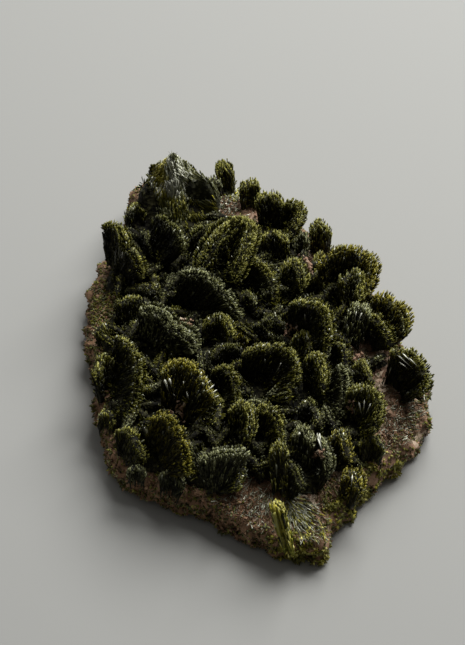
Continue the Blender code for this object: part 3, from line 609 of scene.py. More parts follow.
@dataclass(frozen=True)
class FrontView:
    """The view that places are read from, which is also the camera's."""

    elevation: float = math.radians(55.0)
    distance: float = 500.0
    target: tuple[float, float, float] = (0.7, -3.6, 9.0)
    sensor: float = 36.0

    def back(self) -> np.ndarray:
        """Return the direction from the target to the eye."""
        return np.array((0.0, -math.cos(self.elevation), math.sin(self.elevation)))

    def eye(self) -> np.ndarray:
        """Return the eye's place."""
        return np.array(self.target) + self.distance * self.back()

    def ray(self, across: float, up: float) -> np.ndarray:
        """Find the direction from the eye to a place in the view.

        Args:
            across: Millimetres to the right of the target.
            up: Millimetres up the view from the target.

        Returns:
            A unit direction.
        """
        rise = np.array((0.0, math.sin(self.elevation), math.cos(self.elevation)))
        ray = across * np.array((1.0, 0.0, 0.0)) + up * rise - self.distance * self.back()
        return ray / np.linalg.norm(ray)

    def at_height(self, across: float, up: float, height: float) -> np.ndarray:
        """Find the point at a height that is seen at a place in the view.

        Args:
            across: Millimetres to the right of the target.
            up: Millimetres up the view from the target.
            height: The point's height.

        Returns:
            The point.
        """
        ray = self.ray(across, up)
        return self.eye() + ray * ((height - self.eye()[2]) / ray[2])

    def seen(self, points: np.ndarray) -> np.ndarray:
        """Find where in the view points are seen.

        Args:
            points: Rows of three coordinates.

        Returns:
            Across and up for each point.
        """
        rise = np.array((0.0, math.sin(self.elevation), math.cos(self.elevation)))
        offset = points - self.eye()
        scale = self.distance / -(offset @ self.back())
        return np.stack((offset[:, 0] * scale, offset @ rise * scale), axis=1)

    def add_camera(self) -> None:
        """Put the scene's camera at the eye, with the target at its place in the picture."""
        data = bpy.data.cameras.new("front_camera")
        tall = PICTURE_SIZE[1]
        data.sensor_width = self.sensor
        data.lens = self.sensor * self.distance * PIXELS_PER_MM / tall
        data.shift_x = (PICTURE_SIZE[0] / 2.0 - TARGET_PIXEL[0]) / tall
        data.shift_y = (TARGET_PIXEL[1] - PICTURE_SIZE[1] / 2.0) / tall
        data.clip_start = 0.01
        data.clip_end = 20.0
        camera = bpy.data.objects.new("front_camera", data)
        camera.location = Vector(self.eye()) * MM
        camera.rotation_euler = (math.pi / 2.0 - self.elevation, 0.0, 0.0)
        bpy.context.scene.collection.objects.link(camera)
        bpy.context.scene.camera = camera


def eased(value: np.ndarray) -> np.ndarray:
    """Ease values from 0 to 1 at both ends.

    Args:
        value: Any numbers.

    Returns:
        The eased numbers.
    """
    value = np.clip(value, 0.0, 1.0)
    return value * value * (3.0 - 2.0 * value)


def unit(vectors: np.ndarray) -> np.ndarray:
    """Scale vectors to a length of one.

    Args:
        vectors: One vector, or rows of them.

    Returns:
        The vectors at unit length.
    """
    return vectors / np.maximum(np.linalg.norm(vectors, axis=-1, keepdims=True), 1e-9)


def relief_at(points: np.ndarray, size: float, octaves: int = 3) -> np.ndarray:
    """Read a rough relief at points.

    Args:
        points: Rows of three coordinates.
        size: The largest bumps' width.
        octaves: How many finer layers are added.

    Returns:
        A number of about -1 to 1 for each point.
    """
    return np.array([noise.fractal(Vector(p), 0.9, 2.1, octaves) for p in points / size])


def add_mesh(name: str, points: np.ndarray, corners: np.ndarray, counts: np.ndarray) -> bpy.types.Mesh:
    """Make a mesh from arrays.

    Args:
        name: The mesh's name.
        points: Rows of three coordinates in millimetres.
        corners: The points of all faces, one face after another.
        counts: How many corners each face has.

    Returns:
        The mesh.
    """
    mesh = bpy.data.meshes.new(name)
    mesh.vertices.add(len(points))
    mesh.vertices.foreach_set("co", (points * MM).astype(np.float32).ravel())
    mesh.loops.add(len(corners))
    mesh.loops.foreach_set("vertex_index", corners.astype(np.int32).ravel())
    mesh.polygons.add(len(counts))
    starts = np.concatenate(([0], np.cumsum(counts)[:-1])).astype(np.int32)
    mesh.polygons.foreach_set("loop_start", starts)
    mesh.update(calc_edges=True)
    mesh.validate()
    return mesh


def add_piece(
    mesh: bpy.types.Mesh, finish: bpy.types.Material, nodes: tuple[str, ...] = ()
) -> bpy.types.Object:
    """Put a mesh in the scene as a piece of the specimen.

    Args:
        mesh: The piece's mesh, whose name the piece takes.
        finish: Its material.
        nodes: The CAD nodes that it stands for.

    Returns:
        The new object.
    """
    mesh.materials.append(finish)
    piece = bpy.data.objects.new(mesh.name, mesh)
    bpy.context.scene.collection.objects.link(piece)
    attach(piece, "root")
    if nodes:
        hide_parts(*nodes)
    faces = sum(len(p.vertices) - 2 for p in mesh.polygons)
    LOG.info("%s: %d triangles", piece.name, faces)
    return piece


@dataclass
class HostRock:
    """The slab: a broken rim around a hummocky top, on a flat sawn underside."""

    view: FrontView
    rim_height: float = 8.5
    rim_drop: float = 1.6
    roughness: float = 0.7
    top_share: float = 0.93
    edge_ripple: float = 1.3
    wall_steps: tuple[tuple[float, float], ...] = (
        (0.93, 1.0), (0.965, 0.95), (1.0, 0.66), (0.985, 0.4), (1.0, 0.16), (0.965, 0.0))
    sectors: int = 480
    top_rings: int = 52
    wall_rings: int = 26
    base_rings: int = 6
    clear_share: float = 0.26
    clear_margin: float = 3.6
    edge: np.ndarray = field(init=False)
    middle: np.ndarray = field(init=False)
    angles: np.ndarray = field(init=False)
    radii: np.ndarray = field(init=False)
    mounds: list = field(init=False)
    patches: list = field(init=False)

    def __post_init__(self) -> None:
        """Work out the edge, the mounds and the bare places in plan."""
        self.edge = np.array([self.view.at_height(*place)[:2] for place in ROCK_EDGE])
        self.middle = (self.edge.min(0) + self.edge.max(0)) / 2.0
        self.angles = np.linspace(-math.pi, math.pi, 1441)
        self.radii = np.array([self.radius_towards(angle) for angle in self.angles])
        self.mounds = [(self.view.at_height(m.across, m.up, self.rim_height)[:2], m) for m in MOUNDS]
        apart = [Mound(*s.foot, 0.0, self.clear_share * s.reach + self.clear_margin) for s in RIM_SPRAYS]
        self.patches = [(self.on_top(m.across, m.up)[:2], m.radius) for m in (*BARE_PATCHES, *apart)]

    def radius_towards(self, angle: float) -> float:
        """Measure from the middle to the edge.

        Args:
            angle: The direction in plan, in radians.

        Returns:
            The distance.
        """
        heading = np.array((math.cos(angle), math.sin(angle)))
        starts = self.edge - self.middle
        sides = np.roll(starts, -1, axis=0) - starts
        span = heading[0] * sides[:, 1] - heading[1] * sides[:, 0]
        share = (starts[:, 0] * heading[1] - starts[:, 1] * heading[0]) / np.where(span > 0, span, 1.0)
        reach = (starts[:, 0] * sides[:, 1] - starts[:, 1] * sides[:, 0]) / np.where(span > 0, span, 1.0)
        hit = (span > 0) & (share >= -1e-9) & (share <= 1.0 + 1e-9)
        return float(reach[hit][0])

    def share_at(self, x: np.ndarray, y: np.ndarray) -> np.ndarray:
        """Say how far out points lie: 0 in the middle and 1 at the edge.

        Args:
            x: Their first coordinates.
            y: Their second coordinates.

        Returns:
            One share for each point.
        """
        across, along = x - self.middle[0], y - self.middle[1]
        return np.hypot(across, along) / np.interp(np.arctan2(along, across), self.angles, self.radii)

    def heights(self, x: np.ndarray, y: np.ndarray) -> np.ndarray:
        """Find the height of the rock's top over points in plan.

        Args:
            x: Their first coordinates.
            y: Their second coordinates.

        Returns:
            One height for each point.
        """
        height = self.rim_height - self.rim_drop * eased((self.share_at(x, y) - 0.75) / 0.3)
        for centre, mound in self.mounds:
            distance = np.hypot(x - centre[0], y - centre[1]) / mound.radius
            height = height + mound.rise * np.exp(-distance * distance)
        coarse = [noise.noise((a, b, 0.0)) for a, b in zip(x * 0.21, y * 0.21)]
        fine = [noise.noise((a, b, 0.0)) for a, b in zip(x * 0.5, y * 0.5)]
        return height + self.roughness * (np.array(coarse) + 0.5 * np.array(fine))

    def height(self, x: float, y: float) -> float:
        """Return the height of the rock's top over one point in plan."""
        return float(self.heights(np.array([x]), np.array([y]))[0])

    def on_top(self, across: float, up: float) -> np.ndarray:
        """Find the point of the rock's top that is seen at a place in the view.

        Args:
            across: Millimetres to the right of the target.
            up: Millimetres up the view from the target.

        Returns:
            The point.
        """
        point = self.view.at_height(across, up, self.rim_height)
        for _ in range(6):
            point = self.view.at_height(across, up, self.height(point[0], point[1]))
        return point

    def cover(self, x: np.ndarray, y: np.ndarray) -> np.ndarray:
        """Say where crystals cover the rock.

        Args:
            x: First coordinates of points in plan.
            y: Their second coordinates.

        Returns:
            For each point 0 on bare rock, 1 well inside the crust, and between at its margin.
        """
        inside = (self.top_share - self.share_at(x, y)) * 35.0
        for centre, radius in self.patches:
            inside = np.minimum(inside, np.hypot(x - centre[0], y - centre[1]) - 0.95 * radius)
        places = np.stack((x, y, np.zeros_like(x)), axis=1)
        return eased((inside + 0.9 * relief_at(places, 3.0)) / 1.4)

    def rings(self) -> np.ndarray:
        """Lay out the slab's skin, ring by ring from the middle of its top to that of its underside.

        Returns:
            For each ring, one point for each sector.
        """
        turn = np.linspace(-math.pi, math.pi, self.sectors, endpoint=False)
        out = np.stack((np.cos(turn), np.sin(turn)), axis=1)
        radius = np.interp(turn, self.angles, self.radii)[:, None]
        made = []
        for share in np.linspace(0.012, self.top_share, self.top_rings):
            flat = self.middle + out * radius * share
            made.append(np.column_stack((flat, self.heights(flat[:, 0], flat[:, 1]))))
        rim_z = made[-1][:, 2]
        knots = np.linspace(0.0, 1.0, len(self.wall_steps))
        for step in np.linspace(0.0, 1.0, self.wall_rings + 1)[1:]:
            share = np.interp(step, knots, [s for s, _ in self.wall_steps])
            level = np.interp(step, knots, [v for _, v in self.wall_steps])
            flat = self.middle + out * radius * share
            ring = np.column_stack((flat, rim_z * level))
            bulge = np.array([noise.noise(Vector(p) * 0.33) for p in ring])
            ring[:, :2] += out * (self.edge_ripple * bulge * eased((0.95 - level) / 0.1))[:, None]
            made.append(ring)
        last = made[-1]
        for share in np.linspace(1.0, 0.02, self.base_rings + 1)[1:]:
            flat = self.middle + (last[:, :2] - self.middle) * share
            made.append(np.column_stack((flat, np.zeros(self.sectors))))
        return np.array(made)

    def roughened(self, rings: np.ndarray) -> np.ndarray:
        """Break the slab's skin into grains and chips, and leave its underside flat.

        Args:
            rings: The smooth skin, ring by ring.

        Returns:
            The rough skin.
        """
        flat = rings.reshape(-1, 3)
        number = np.repeat(np.arange(len(rings)), self.sectors)
        wall = eased((number - self.top_rings + 6) / 8.0)
        away = unit(flat[:, :2] - self.middle)
        heading = np.column_stack((away * wall[:, None], 1.0 - wall))
        chips = relief_at(flat, 5.0, 2)
        grains = relief_at(flat + 40.0, 1.3, 3)
        knobs = relief_at(flat + 80.0, 2.4, 2)
        depth = 0.8 * (np.abs(chips) - 0.4) * (0.5 + wall) + 0.4 * grains + 0.9 * wall * knobs
        depth *= eased(flat[:, 2] / 1.0) * (number < self.top_rings + self.wall_rings)
        return (flat + unit(heading) * depth[:, None]).reshape(rings.shape)

    def mesh(self) -> bpy.types.Mesh:
        """Make the slab's mesh, with the share of rust at each point.

        Returns:
            The mesh.
        """
        rings = self.roughened(self.rings())
        count, wide = rings.shape[:2]
        index = np.arange(count * wide).reshape(count, wide)
        upper, lower = index[:-1], index[1:]
        quads = np.stack((upper, lower, np.roll(lower, -1, 1), np.roll(upper, -1, 1)), axis=-1).reshape(-1, 4)
        corners = np.concatenate((quads.ravel(), index[0], index[-1][::-1]))
        counts = np.concatenate((np.full(len(quads), 4), [wide, wide]))
        points = rings.reshape(-1, 3)
        mesh = add_mesh("host_rock_slab", points, corners, counts)
        self.add_rust(mesh, points)
        return mesh

    def add_rust(self, mesh: bpy.types.Mesh, points: np.ndarray) -> None:
        """Give each point of a mesh its share of rust: most on the rim at the left.

        Args:
            mesh: The mesh.
            points: Its points.
        """
        low = eased((self.rim_height - 1.0 - points[:, 2]) / 3.0)
        left = eased((12.0 - points[:, 0] - 0.25 * points[:, 1]) / 22.0)
        rust = mesh.attributes.new("rust", "FLOAT", "POINT")
        share = low * (0.25 + 0.75 * left) + 0.4 * left * (1.0 - low)
        rust.data.foreach_set("value", share.astype(np.float32))

    def grit(self, count: int) -> bpy.types.Mesh:
        """Make the loose-looking grains that stand out of the bare rock and the rim.

        Args:
            count: How many places are tried.

        Returns:
            The mesh.
        """
        dice = np.random.default_rng(64)
        rim, away = self.rim_places(count // 2, dice)
        turn = dice.random(count) * 2.0 * math.pi - math.pi
        out = np.sqrt(dice.random(count)) * np.interp(turn, self.angles, self.radii) * self.top_share
        x, y = self.middle[0] + np.cos(turn) * out, self.middle[1] + np.sin(turn) * out
        bare = self.cover(x, y) < 0.6 * dice.random(count) + 0.2
        x, y = x[bare], y[bare]
        points = np.concatenate((rim, np.stack((x, y, self.heights(x, y)), axis=1)))
        away = np.concatenate((away, np.tile((0.0, 0.0, 1.0), (len(x), 1))))
        heading = unit(away + dice.normal(0.0, 0.4, points.shape))
        size = 0.35 + 0.75 * dice.random(len(points)) ** 2
        rise = size * (0.15 + 0.5 * np.clip(relief_at(points, 2.0, 2) + 0.4, 0.0, 1.0))
        tips = points + heading * rise[:, None]
        tips[:, 2] = np.maximum(tips[:, 2], 0.6)
        roots = points - heading * 0.6
        roots[:, 2] = np.maximum(roots[:, 2], 0.3)
        prisms = Prisms()
        prisms.add(roots, tips, size, 0.0, (0.0, 0.0), dice)
        mesh = prisms.mesh("rock_grit", mapped=False)
        spots = np.empty(len(mesh.vertices) * 3, np.float32)
        mesh.vertices.foreach_get("co", spots)
        self.add_rust(mesh, spots.reshape(-1, 3) / MM)
        return mesh

    def rim_places(self, count: int, dice: np.random.Generator) -> tuple[np.ndarray, np.ndarray]:
        """Pick places on the slab's broken rim.

        Args:
            count: How many places.
            dice: Where the random numbers come from.

        Returns:
            The points, and the direction away from the rock at each.
        """
        rings = self.roughened(self.rings())
        ring = dice.integers(self.top_rings - 3, self.top_rings + self.wall_rings - 2, count)
        sector = dice.integers(0, self.sectors, count)
        after = rings[ring, (sector + 1) % self.sectors]
        below = rings[ring + 1, sector]
        points = rings[ring, sector]
        away = unit(np.cross(below - points, after - points))
        points = points + dice.random((count, 1)) * (after - points) + dice.random((count, 1)) * (below - points)
        return points, away


@dataclass
class Prisms:
    """Slender prisms that widen from a hidden point and end in a short tip, made into one mesh."""

    sides: int = 3
    shoulder: float = 0.75
    rows: list[np.ndarray] = field(default_factory=list)

    def add(
        self, roots: np.ndarray, tips: np.ndarray, widths: np.ndarray, tones: np.ndarray,
        growth_and_light: tuple[np.ndarray, np.ndarray], dice: np.random.Generator,
    ) -> None:
        """Add prisms.

        Args:
            roots: The middle of each prism's foot.
            tips: Its point.
            widths: Its width across.
            tones: Its tone's number.
            growth_and_light: The lightness painted at its root and at its tip, from 0 dark to 1 pale: its tone's
                lightness together with painted light and shade.
            dice: Where the random numbers come from.
        """
        count = len(roots)
        columns = (
            roots, tips, np.broadcast_to(widths, count), np.broadcast_to(tones, count),
            np.broadcast_to(growth_and_light[0], count), np.broadcast_to(growth_and_light[1], count), dice.random((count, 4)),
        )
        self.rows.append(np.column_stack(columns))

    def add_bursts(
        self, centres: np.ndarray, axes: np.ndarray, sizes: np.ndarray, each: int, spread: float,
        width: float, light: np.ndarray, tones: np.ndarray, dice: np.random.Generator,
    ) -> None:
        """Add small tufts, each of a few prisms that spread from one point.

        Args:
            centres: Where each tuft starts.
            axes: Which way it points.
            sizes: How long its prisms are.
            each: How many prisms a tuft has.
            spread: How far they lean away from its axis.
            width: Their mean width.
            light: How light each tuft's tips are painted, from 0 to 1: their colour, and on fans' faces painted light
                as well.
            tones: Each tuft's tone.
            dice: Where the random numbers come from.
        """
        total = len(centres) * each
        centres, axes = np.repeat(centres, each, axis=0), np.repeat(axes, each, axis=0)
        sizes, light, tones = np.repeat(sizes, each), np.repeat(light, each), np.repeat(tones, each)
        heading = unit(axes + dice.normal(0.0, spread, (total, 3)))
        reach = sizes * (0.6 + 0.5 * dice.random(total))
        light = np.clip(light + 0.12 * dice.normal(size=total), 0.03, 1.0)
        widths = width * (0.7 + 0.7 * dice.random(total))
        self.add(centres - heading * 0.2, centres + heading * reach[:, None], widths, tones, (light * 0.3, light), dice)

    def mesh(self, name: str, mapped: bool = True) -> bpy.types.Mesh:
        """Make all the prisms into one mesh.

        Args:
            name: The mesh's name.
            mapped: Whether it gets the map that the crystals' finish reads.

        Returns:
            The mesh.
        """
        rows = np.concatenate(self.rows)
        roots, tips, width, tone, low, high = (
            rows[:, 0:3], rows[:, 3:6], rows[:, 6], rows[:, 7], rows[:, 8], rows[:, 9])
        spin, flat, slant, shade = rows[:, 10:14].T
        count, sides = len(rows), self.sides
        along = unit(tips - roots)
        helper = np.where(np.abs(along[:, 2:3]) < 0.9, [[0.0, 0.0, 1.0]], [[1.0, 0.0, 0.0]])
        first = unit(np.cross(along, helper))
        second = np.cross(along, first)
        turn = spin[:, None] * 2.0 * math.pi + np.arange(sides) * 2.0 * math.pi / sides
        around = np.cos(turn)[..., None] * first[:, None] + np.sin(turn)[..., None] * second[:, None]
        around = around * 0.5 * width[:, None, None]
        broad = unit(np.cos(spin * 7.0)[:, None] * first + np.sin(spin * 7.0)[:, None] * second)[:, None]
        squeeze = (around * broad).sum(-1, keepdims=True) * (0.1 + 0.4 * flat[:, None, None])
        around = around - broad * squeeze
        taper = np.minimum(width * (0.5 + 1.6 * slant), 0.6 * np.linalg.norm(tips - roots, axis=1))
        ring = (tips - along * taper[:, None])[:, None] + around
        points = np.concatenate((roots[:, None], ring, (tips + around[:, 0] * 0.5)[:, None]), axis=1)
        points[..., 2] = np.maximum(points[..., 2], 0.05)
        side = np.arange(sides)
        after = (side + 1) % sides
        lower = np.stack((after + 1, side + 1, np.zeros(sides, dtype=int)), axis=1)
        upper = np.stack((side + 1, after + 1, np.full(sides, sides + 1)), axis=1)
        pattern = np.concatenate((lower.ravel(), upper.ravel()))
        corners = (pattern + np.arange(count)[:, None] * (sides + 2)).ravel()
        mesh = add_mesh(name, points.reshape(-1, 3), corners, np.full(count * 2 * sides, 3))
        if mapped:
            self.add_map(mesh, (tone, shade), (low, high), pattern)
        return mesh

    def add_map(
        self, mesh: bpy.types.Mesh, tint: tuple[np.ndarray, np.ndarray],
        growth_and_light: tuple[np.ndarray, np.ndarray], pattern: np.ndarray,
    ) -> None:
        """Add the map on which a prism's tone and shade run across and its painted light and shade run up, from root to
        tip.

        Args:
            mesh: The prisms' mesh.
            tint: Each prism's tone and its own shade.
            growth_and_light: The lightness painted at its root and at its tip, painted light and shade included.
            pattern: The corners of one prism's faces.
        """
        band = 1.0 / len(Tone)
        left = (tint[0] + 0.05 + 0.87 * tint[1]) * band
        across = np.arange(len(pattern)) / len(pattern) * band * 0.04
        up = np.where(pattern == 0, 0.0, np.where(pattern == self.sides + 1, 1.0, self.shoulder))
        low, high = growth_and_light
        first = left[:, None] + across
        second = low[:, None] + (high - low)[:, None] * up
        layer = mesh.uv_layers.new(name="OFBake")
        layer.uv.foreach_set("vector", np.stack((first, second), axis=-1).astype(np.float32).ravel())


@dataclass
class Fan:
    """A spray in place: its foot, points along its crest, and its thickness."""

    foot: np.ndarray
    marks: np.ndarray
    thickness: float
    tone: Tone
    seed: int
    # pale: extra lightness of faces and flanks, partly a paler colour and partly light painted on faces in shade.
    pale: float = 0.0
    foot_share: float = 0.5
    narrow_crest: float = 5.0
    foot_thickness: float = 0.6
    end_taper: float = 0.62
    steps: int = 40
    bundle: float = 1.3
    notch_spacing: float = 4.0
    fringe: float = 1.05
    # Painted glints: a scattering of bright crystals over the faces.
    glint_dots: float = 0.08
    slim: float = 0.82
    splay: float = 0.9
    glint_lift: float = 0.4
    clear_width: float = 1.7
    notches: np.ndarray = field(init=False)
    reach: float = field(init=False)
    crest: np.ndarray = field(init=False)
    bases: np.ndarray = field(init=False)
    across: np.ndarray = field(init=False)
    length: float = field(init=False)

    def settle(self, rock: HostRock, lift: float) -> None:
        """Work out the fan's curved crest, its foot and its faces.

        Args:
            rock: What the fan grows on.
            lift: How far above the rock's top its foot starts.
        """
        self.crest = self.smooth_crest()
        self.length = float(np.linalg.norm(np.diff(self.crest, axis=0), axis=1).sum())
        wide = max(self.foot_share, min(0.9, self.narrow_crest / self.length))
        self.bases = self.foot + (self.crest - self.crest[self.steps // 2]) * wide
        self.bases[:, 2] = rock.heights(self.bases[:, 0], self.bases[:, 1]) + lift
        along = np.gradient(self.crest, axis=0)
        sides = unit(np.cross(along, self.crest - self.bases))
        self.across = unit(sides + 1.2 * sides.mean(0))
        self.reach = float(np.linalg.norm(self.crest - self.bases, axis=1).mean())
        dice = np.random.default_rng(self.seed + 900)
        count = int(self.length / self.notch_spacing)
        self.notches = dice.random((count, 3)) * (1.0, 1.0, 0.4) + (0.0, 0.3, 0.35)

    def smooth_crest(self) -> np.ndarray:
        """Draw a smooth curve through the marks.

        Returns:
            Points at even steps along the crest.
        """
        marks = self.marks
        ends = np.concatenate(([2 * marks[0] - marks[1]], marks, [2 * marks[-1] - marks[-2]]))
        fine = []
        for a, b, c, d in zip(ends, ends[1:], ends[2:], ends[3:]):
            for t in np.arange(12) / 12.0:
                fine.append(0.5 * (2 * b + (c - a) * t + (2 * a - 5 * b + 4 * c - d) * t * t
                                   + (3 * b - a - 3 * c + d) * t ** 3))
        fine = np.array([*fine, marks[-1]])
        reached = np.concatenate(([0.0], np.cumsum(np.linalg.norm(np.diff(fine, axis=0), axis=1))))
        goals = np.linspace(0.0, reached[-1], self.steps + 1)
        return np.stack([np.interp(goals, reached, fine[:, axis]) for axis in range(3)], axis=1)

    def at(self, share: np.ndarray, rows: np.ndarray) -> np.ndarray:
        """Read the crest, the bases or the directions between their steps.

        Args:
            share: How far along the crest, from 0 to 1.
            rows: One row for each step.

        Returns:
            One row for each share.
        """
        place = np.clip(share, 0.0, 1.0) * self.steps
        return np.stack([np.interp(place, np.arange(self.steps + 1), rows[:, a]) for a in range(3)], axis=1)

    def half(self, share: np.ndarray) -> np.ndarray:
        """Measure half the fan's thickness, which is less at its ends and a little uneven.

        Args:
            share: How far along the crest, from 0 to 1.

        Returns:
            One half thickness for each share.
        """
        ends = eased(np.minimum(share, 1.0 - share) * self.length / 1.6)
        wave = np.array([noise.noise((s * self.length * 0.45, self.seed * 1.7, 0.0)) for s in share])
        return 0.5 * self.thickness * (self.end_taper + (1.0 - self.end_taper) * ends) * (1.0 + 0.22 * wave)

    def inside(self, share: np.ndarray, side: np.ndarray, rise: np.ndarray) -> np.ndarray:
        """Find points in the fan's body.

        Args:
            share: How far along the crest, from 0 to 1.
            side: From -1 on one face to 1 on the other.
            rise: From 0 at the foot to 1 at the crest.

        Returns:
            The points.
        """
        base, crest = self.at(share, self.bases), self.at(share, self.crest)
        wide = self.foot_thickness + (1.0 - self.foot_thickness) * rise
        out = self.at(share, self.across) * (side * self.half(share) * wide)[:, None]
        return base + (crest - base) * rise[:, None] + out

    def on_face(self, view: FrontView, place: tuple[float, float]) -> np.ndarray:
        """Find the point just above the fan's nearer face that is seen at a place in the view.

        Args:
            view: The view that the place is read from.
            place: Across and up in it.

        Returns:
            The point.
        """
        share, rise = (rows.ravel() for rows in np.meshgrid(np.linspace(0.0, 1.0, 41), np.linspace(0.1, 0.97, 30)))
        found = []
        for side in (-1.0, 1.0):
            points = self.inside(share, np.full_like(share, side), rise)
            miss = np.linalg.norm(view.seen(points) - place, axis=1)
            best = int(miss.argmin())
            point = points[best] + self.at(share[best:best + 1], self.across)[0] * side * self.glint_lift
            found.append((float(np.linalg.norm(point - view.eye())) + 8.0 * float(miss[best]), point))
        return min(found, key=lambda row: row[0])[1]

    def add_core(self, prisms: Solids) -> None:
        """Fill the fan's inside, so that nothing shows between its crystals.

        Args:
            prisms: What the solid is added to.
        """
        share = np.linspace(0.03, 0.97, 13)
        one = np.ones_like(share)
        outline = ((-0.8, 0.0), (0.8, 0.0), (0.85, 0.5), (0.6, 0.8), (0.0, 0.84), (-0.6, 0.8), (-0.85, 0.5))
        loops = np.stack([self.inside(share, one * side, one * rise) for side, rise in outline], axis=1)
        prisms.add_loft(loops)

    def along_at(self, share: np.ndarray) -> np.ndarray:
        """Return the crest's own direction at each share of it."""
        return unit(self.at(share + 0.02, self.crest) - self.at(share - 0.02, self.crest))

    def lumps(self, share: np.ndarray, side: np.ndarray, size: float) -> np.ndarray:
        """Read the unevenness of the crest, where bundles of crystals grew at their own pace.

        Args:
            share: How far along the crest.
            side: Where across it.
            size: A bundle's width.

        Returns:
            A number of about -1 to 1 for each place.
        """
        run = share * self.length / size
        return np.array([noise.noise((r, s * 1.3, self.seed * 3.1)) for r, s in zip(run, side)])

    def drop(self, share: np.ndarray, side: np.ndarray) -> np.ndarray:
        """Measure how far the crystals stop short of the crest's smooth line.

        Args:
            share: How far along the crest.
            side: From -1 on one face to 1 on the other.

        Returns:
            One length for each place, more in the notches between bundles.
        """
        low = 0.3 + 0.6 * self.lumps(share, side * 0.4, 3.2 * self.bundle)
        low += 0.16 * self.lumps(share + 3.0, side, self.bundle)
        for place, depth, width in self.notches:
            gap = np.abs((share - place) * self.length + 0.4 * side * width) / width
            low += 1.3 * depth * np.clip(1.0 - gap, 0.0, 1.0)
        return np.clip(low, -0.1, 0.3 * self.reach)

    def tones(self, share: np.ndarray, side: np.ndarray, dice: np.random.Generator) -> np.ndarray:
        """Pick the crystals' tones: the fan's own, with grey or mossy patches and a few pale strays that paint glints.

        Args:
            share: How far along the crest each is.
            side: From -1 on one face to 1 on the other.
            dice: Where the random numbers come from.

        Returns:
            The tones' numbers.
        """
        patch = self.lumps(share + 7.0, side, 5.0) + 0.2 * dice.normal(size=len(share))
        draw = dice.random(len(share))
        own = np.full(len(share), self.tone.value)
        own[(patch > 0.5) | (draw < 0.03)] = Tone.GREY.value
        own[(patch < -0.4) | (draw > 0.97)] = Tone.MOSS.value
        own[draw < 0.025] = Tone.PALE.value
        return own

    def fullness(self) -> float:
        """Return how much wider this fan's crystals are: those that let light through are thick."""
        return self.clear_width if self.tone is Tone.BACKLIT else 1.0

    def add_crest(self, prisms: Prisms, spacing: float) -> None:
        """Grow the bristles that make the crest, nearly parallel, with their tips at its line.

        Args:
            prisms: What the crystals are added to.
            spacing: The distance between their tips.
        """
        dice = np.random.default_rng(self.seed)
        count = int(self.length * self.thickness * 0.85 / spacing ** 2)
        share = dice.random(count) * 1.06 - 0.03
        side = dice.random(count) * 2.0 - 1.0
        out, along, crest = self.at(share, self.across), self.along_at(share), self.at(share, self.crest)
        radial = unit(crest - self.at(share, self.bases))
        half = self.half(np.clip(share, 0.0, 1.0))
        past = np.clip((np.abs(share - 0.5) - 0.5) * self.length / 1.4 + 1.0, 0.0, 1.0) * np.sign(share - 0.5)
        short = self.drop(share, side) + half * 1.1 * np.abs(side) ** 2.0 + 0.8 * past * past
        short += 0.09 * dice.normal(size=count)
        tips = crest + out * (side * half * self.slim)[:, None] - radial * short[:, None]
        tips += along * (past * 0.5)[:, None]
        heading = unit(radial + out * (self.splay * side)[:, None] + along * (0.6 * past)[:, None]
                       + dice.normal(0.0, 0.06, (count, 3)))
        roots = tips - heading * (1.6 + 1.6 * dice.random(count))[:, None]
        width = spacing * (0.75 + 0.7 * dice.random(count))
        # Painted light: crest crystals are palest along the middle of the crest, where light falls, and darker towards
        # its faces.
        light = 1.02 - 0.42 * np.abs(side) ** 1.5 + 0.1 * dice.normal(size=count)
        light = np.clip(light + 0.2 * self.lumps(share, side, 1.1), 0.15, 1.0)
        prisms.add(roots, tips, width, self.tones(share, side, dice), (light * 0.42, light), dice)

    def add_flanks(self, prisms: Prisms, spacing: float) -> None:
        """Grow the short crystals on both faces, close under the crest, painted pale there where light falls and dark
        with painted shade lower down.

        Args:
            prisms: What the crystals are added to.
            spacing: The distance between their tips near the crest.
        """
        dice = np.random.default_rng(self.seed + 2500)
        count = int(2.0 * self.length * min(self.reach, 8.0) * 0.44 / spacing ** 2)
        share = dice.random(count)
        side = np.where(dice.random(count) < 0.5, -1.0, 1.0)
        below = dice.random(count) ** 2.0 * 0.8 * self.reach + self.drop(share, side)
        rise = 0.98 - below / self.reach
        tips = self.inside(share, side * 0.88, rise)
        out = self.at(share, self.across) * side[:, None]
        tips += out * (0.02 + 0.3 * dice.random(count) ** 2)[:, None]
        tips += self.along_at(share) * dice.normal(0.0, 0.06, (count, 1))
        back = (1.3 + 1.6 * dice.random(count)) / self.reach
        roots = self.inside(share + dice.normal(0.0, 0.005, count), side * 0.7, rise - back)
        width = spacing * (0.6 + 0.6 * dice.random(count)) * self.fullness()
        # Painted light: pale just under the crest, fading over the fringe to dark painted shade lower down, with a few
        # bright painted glints.
        light = 0.62 * np.exp(-(np.maximum(below, 0.0) / self.fringe) ** 1.5) + 0.05
        light += 0.03 * dice.normal(size=count) + 0.06 * self.lumps(share, side + rise * 6.0, 1.4)
        light = np.clip(light + (self.pale + self.glint_dots) * 4.0 * dice.random(count) ** 3, 0.02, 0.95)
        prisms.add(roots, tips, width, self.tones(share, side, dice), (light * 0.4, light), dice)

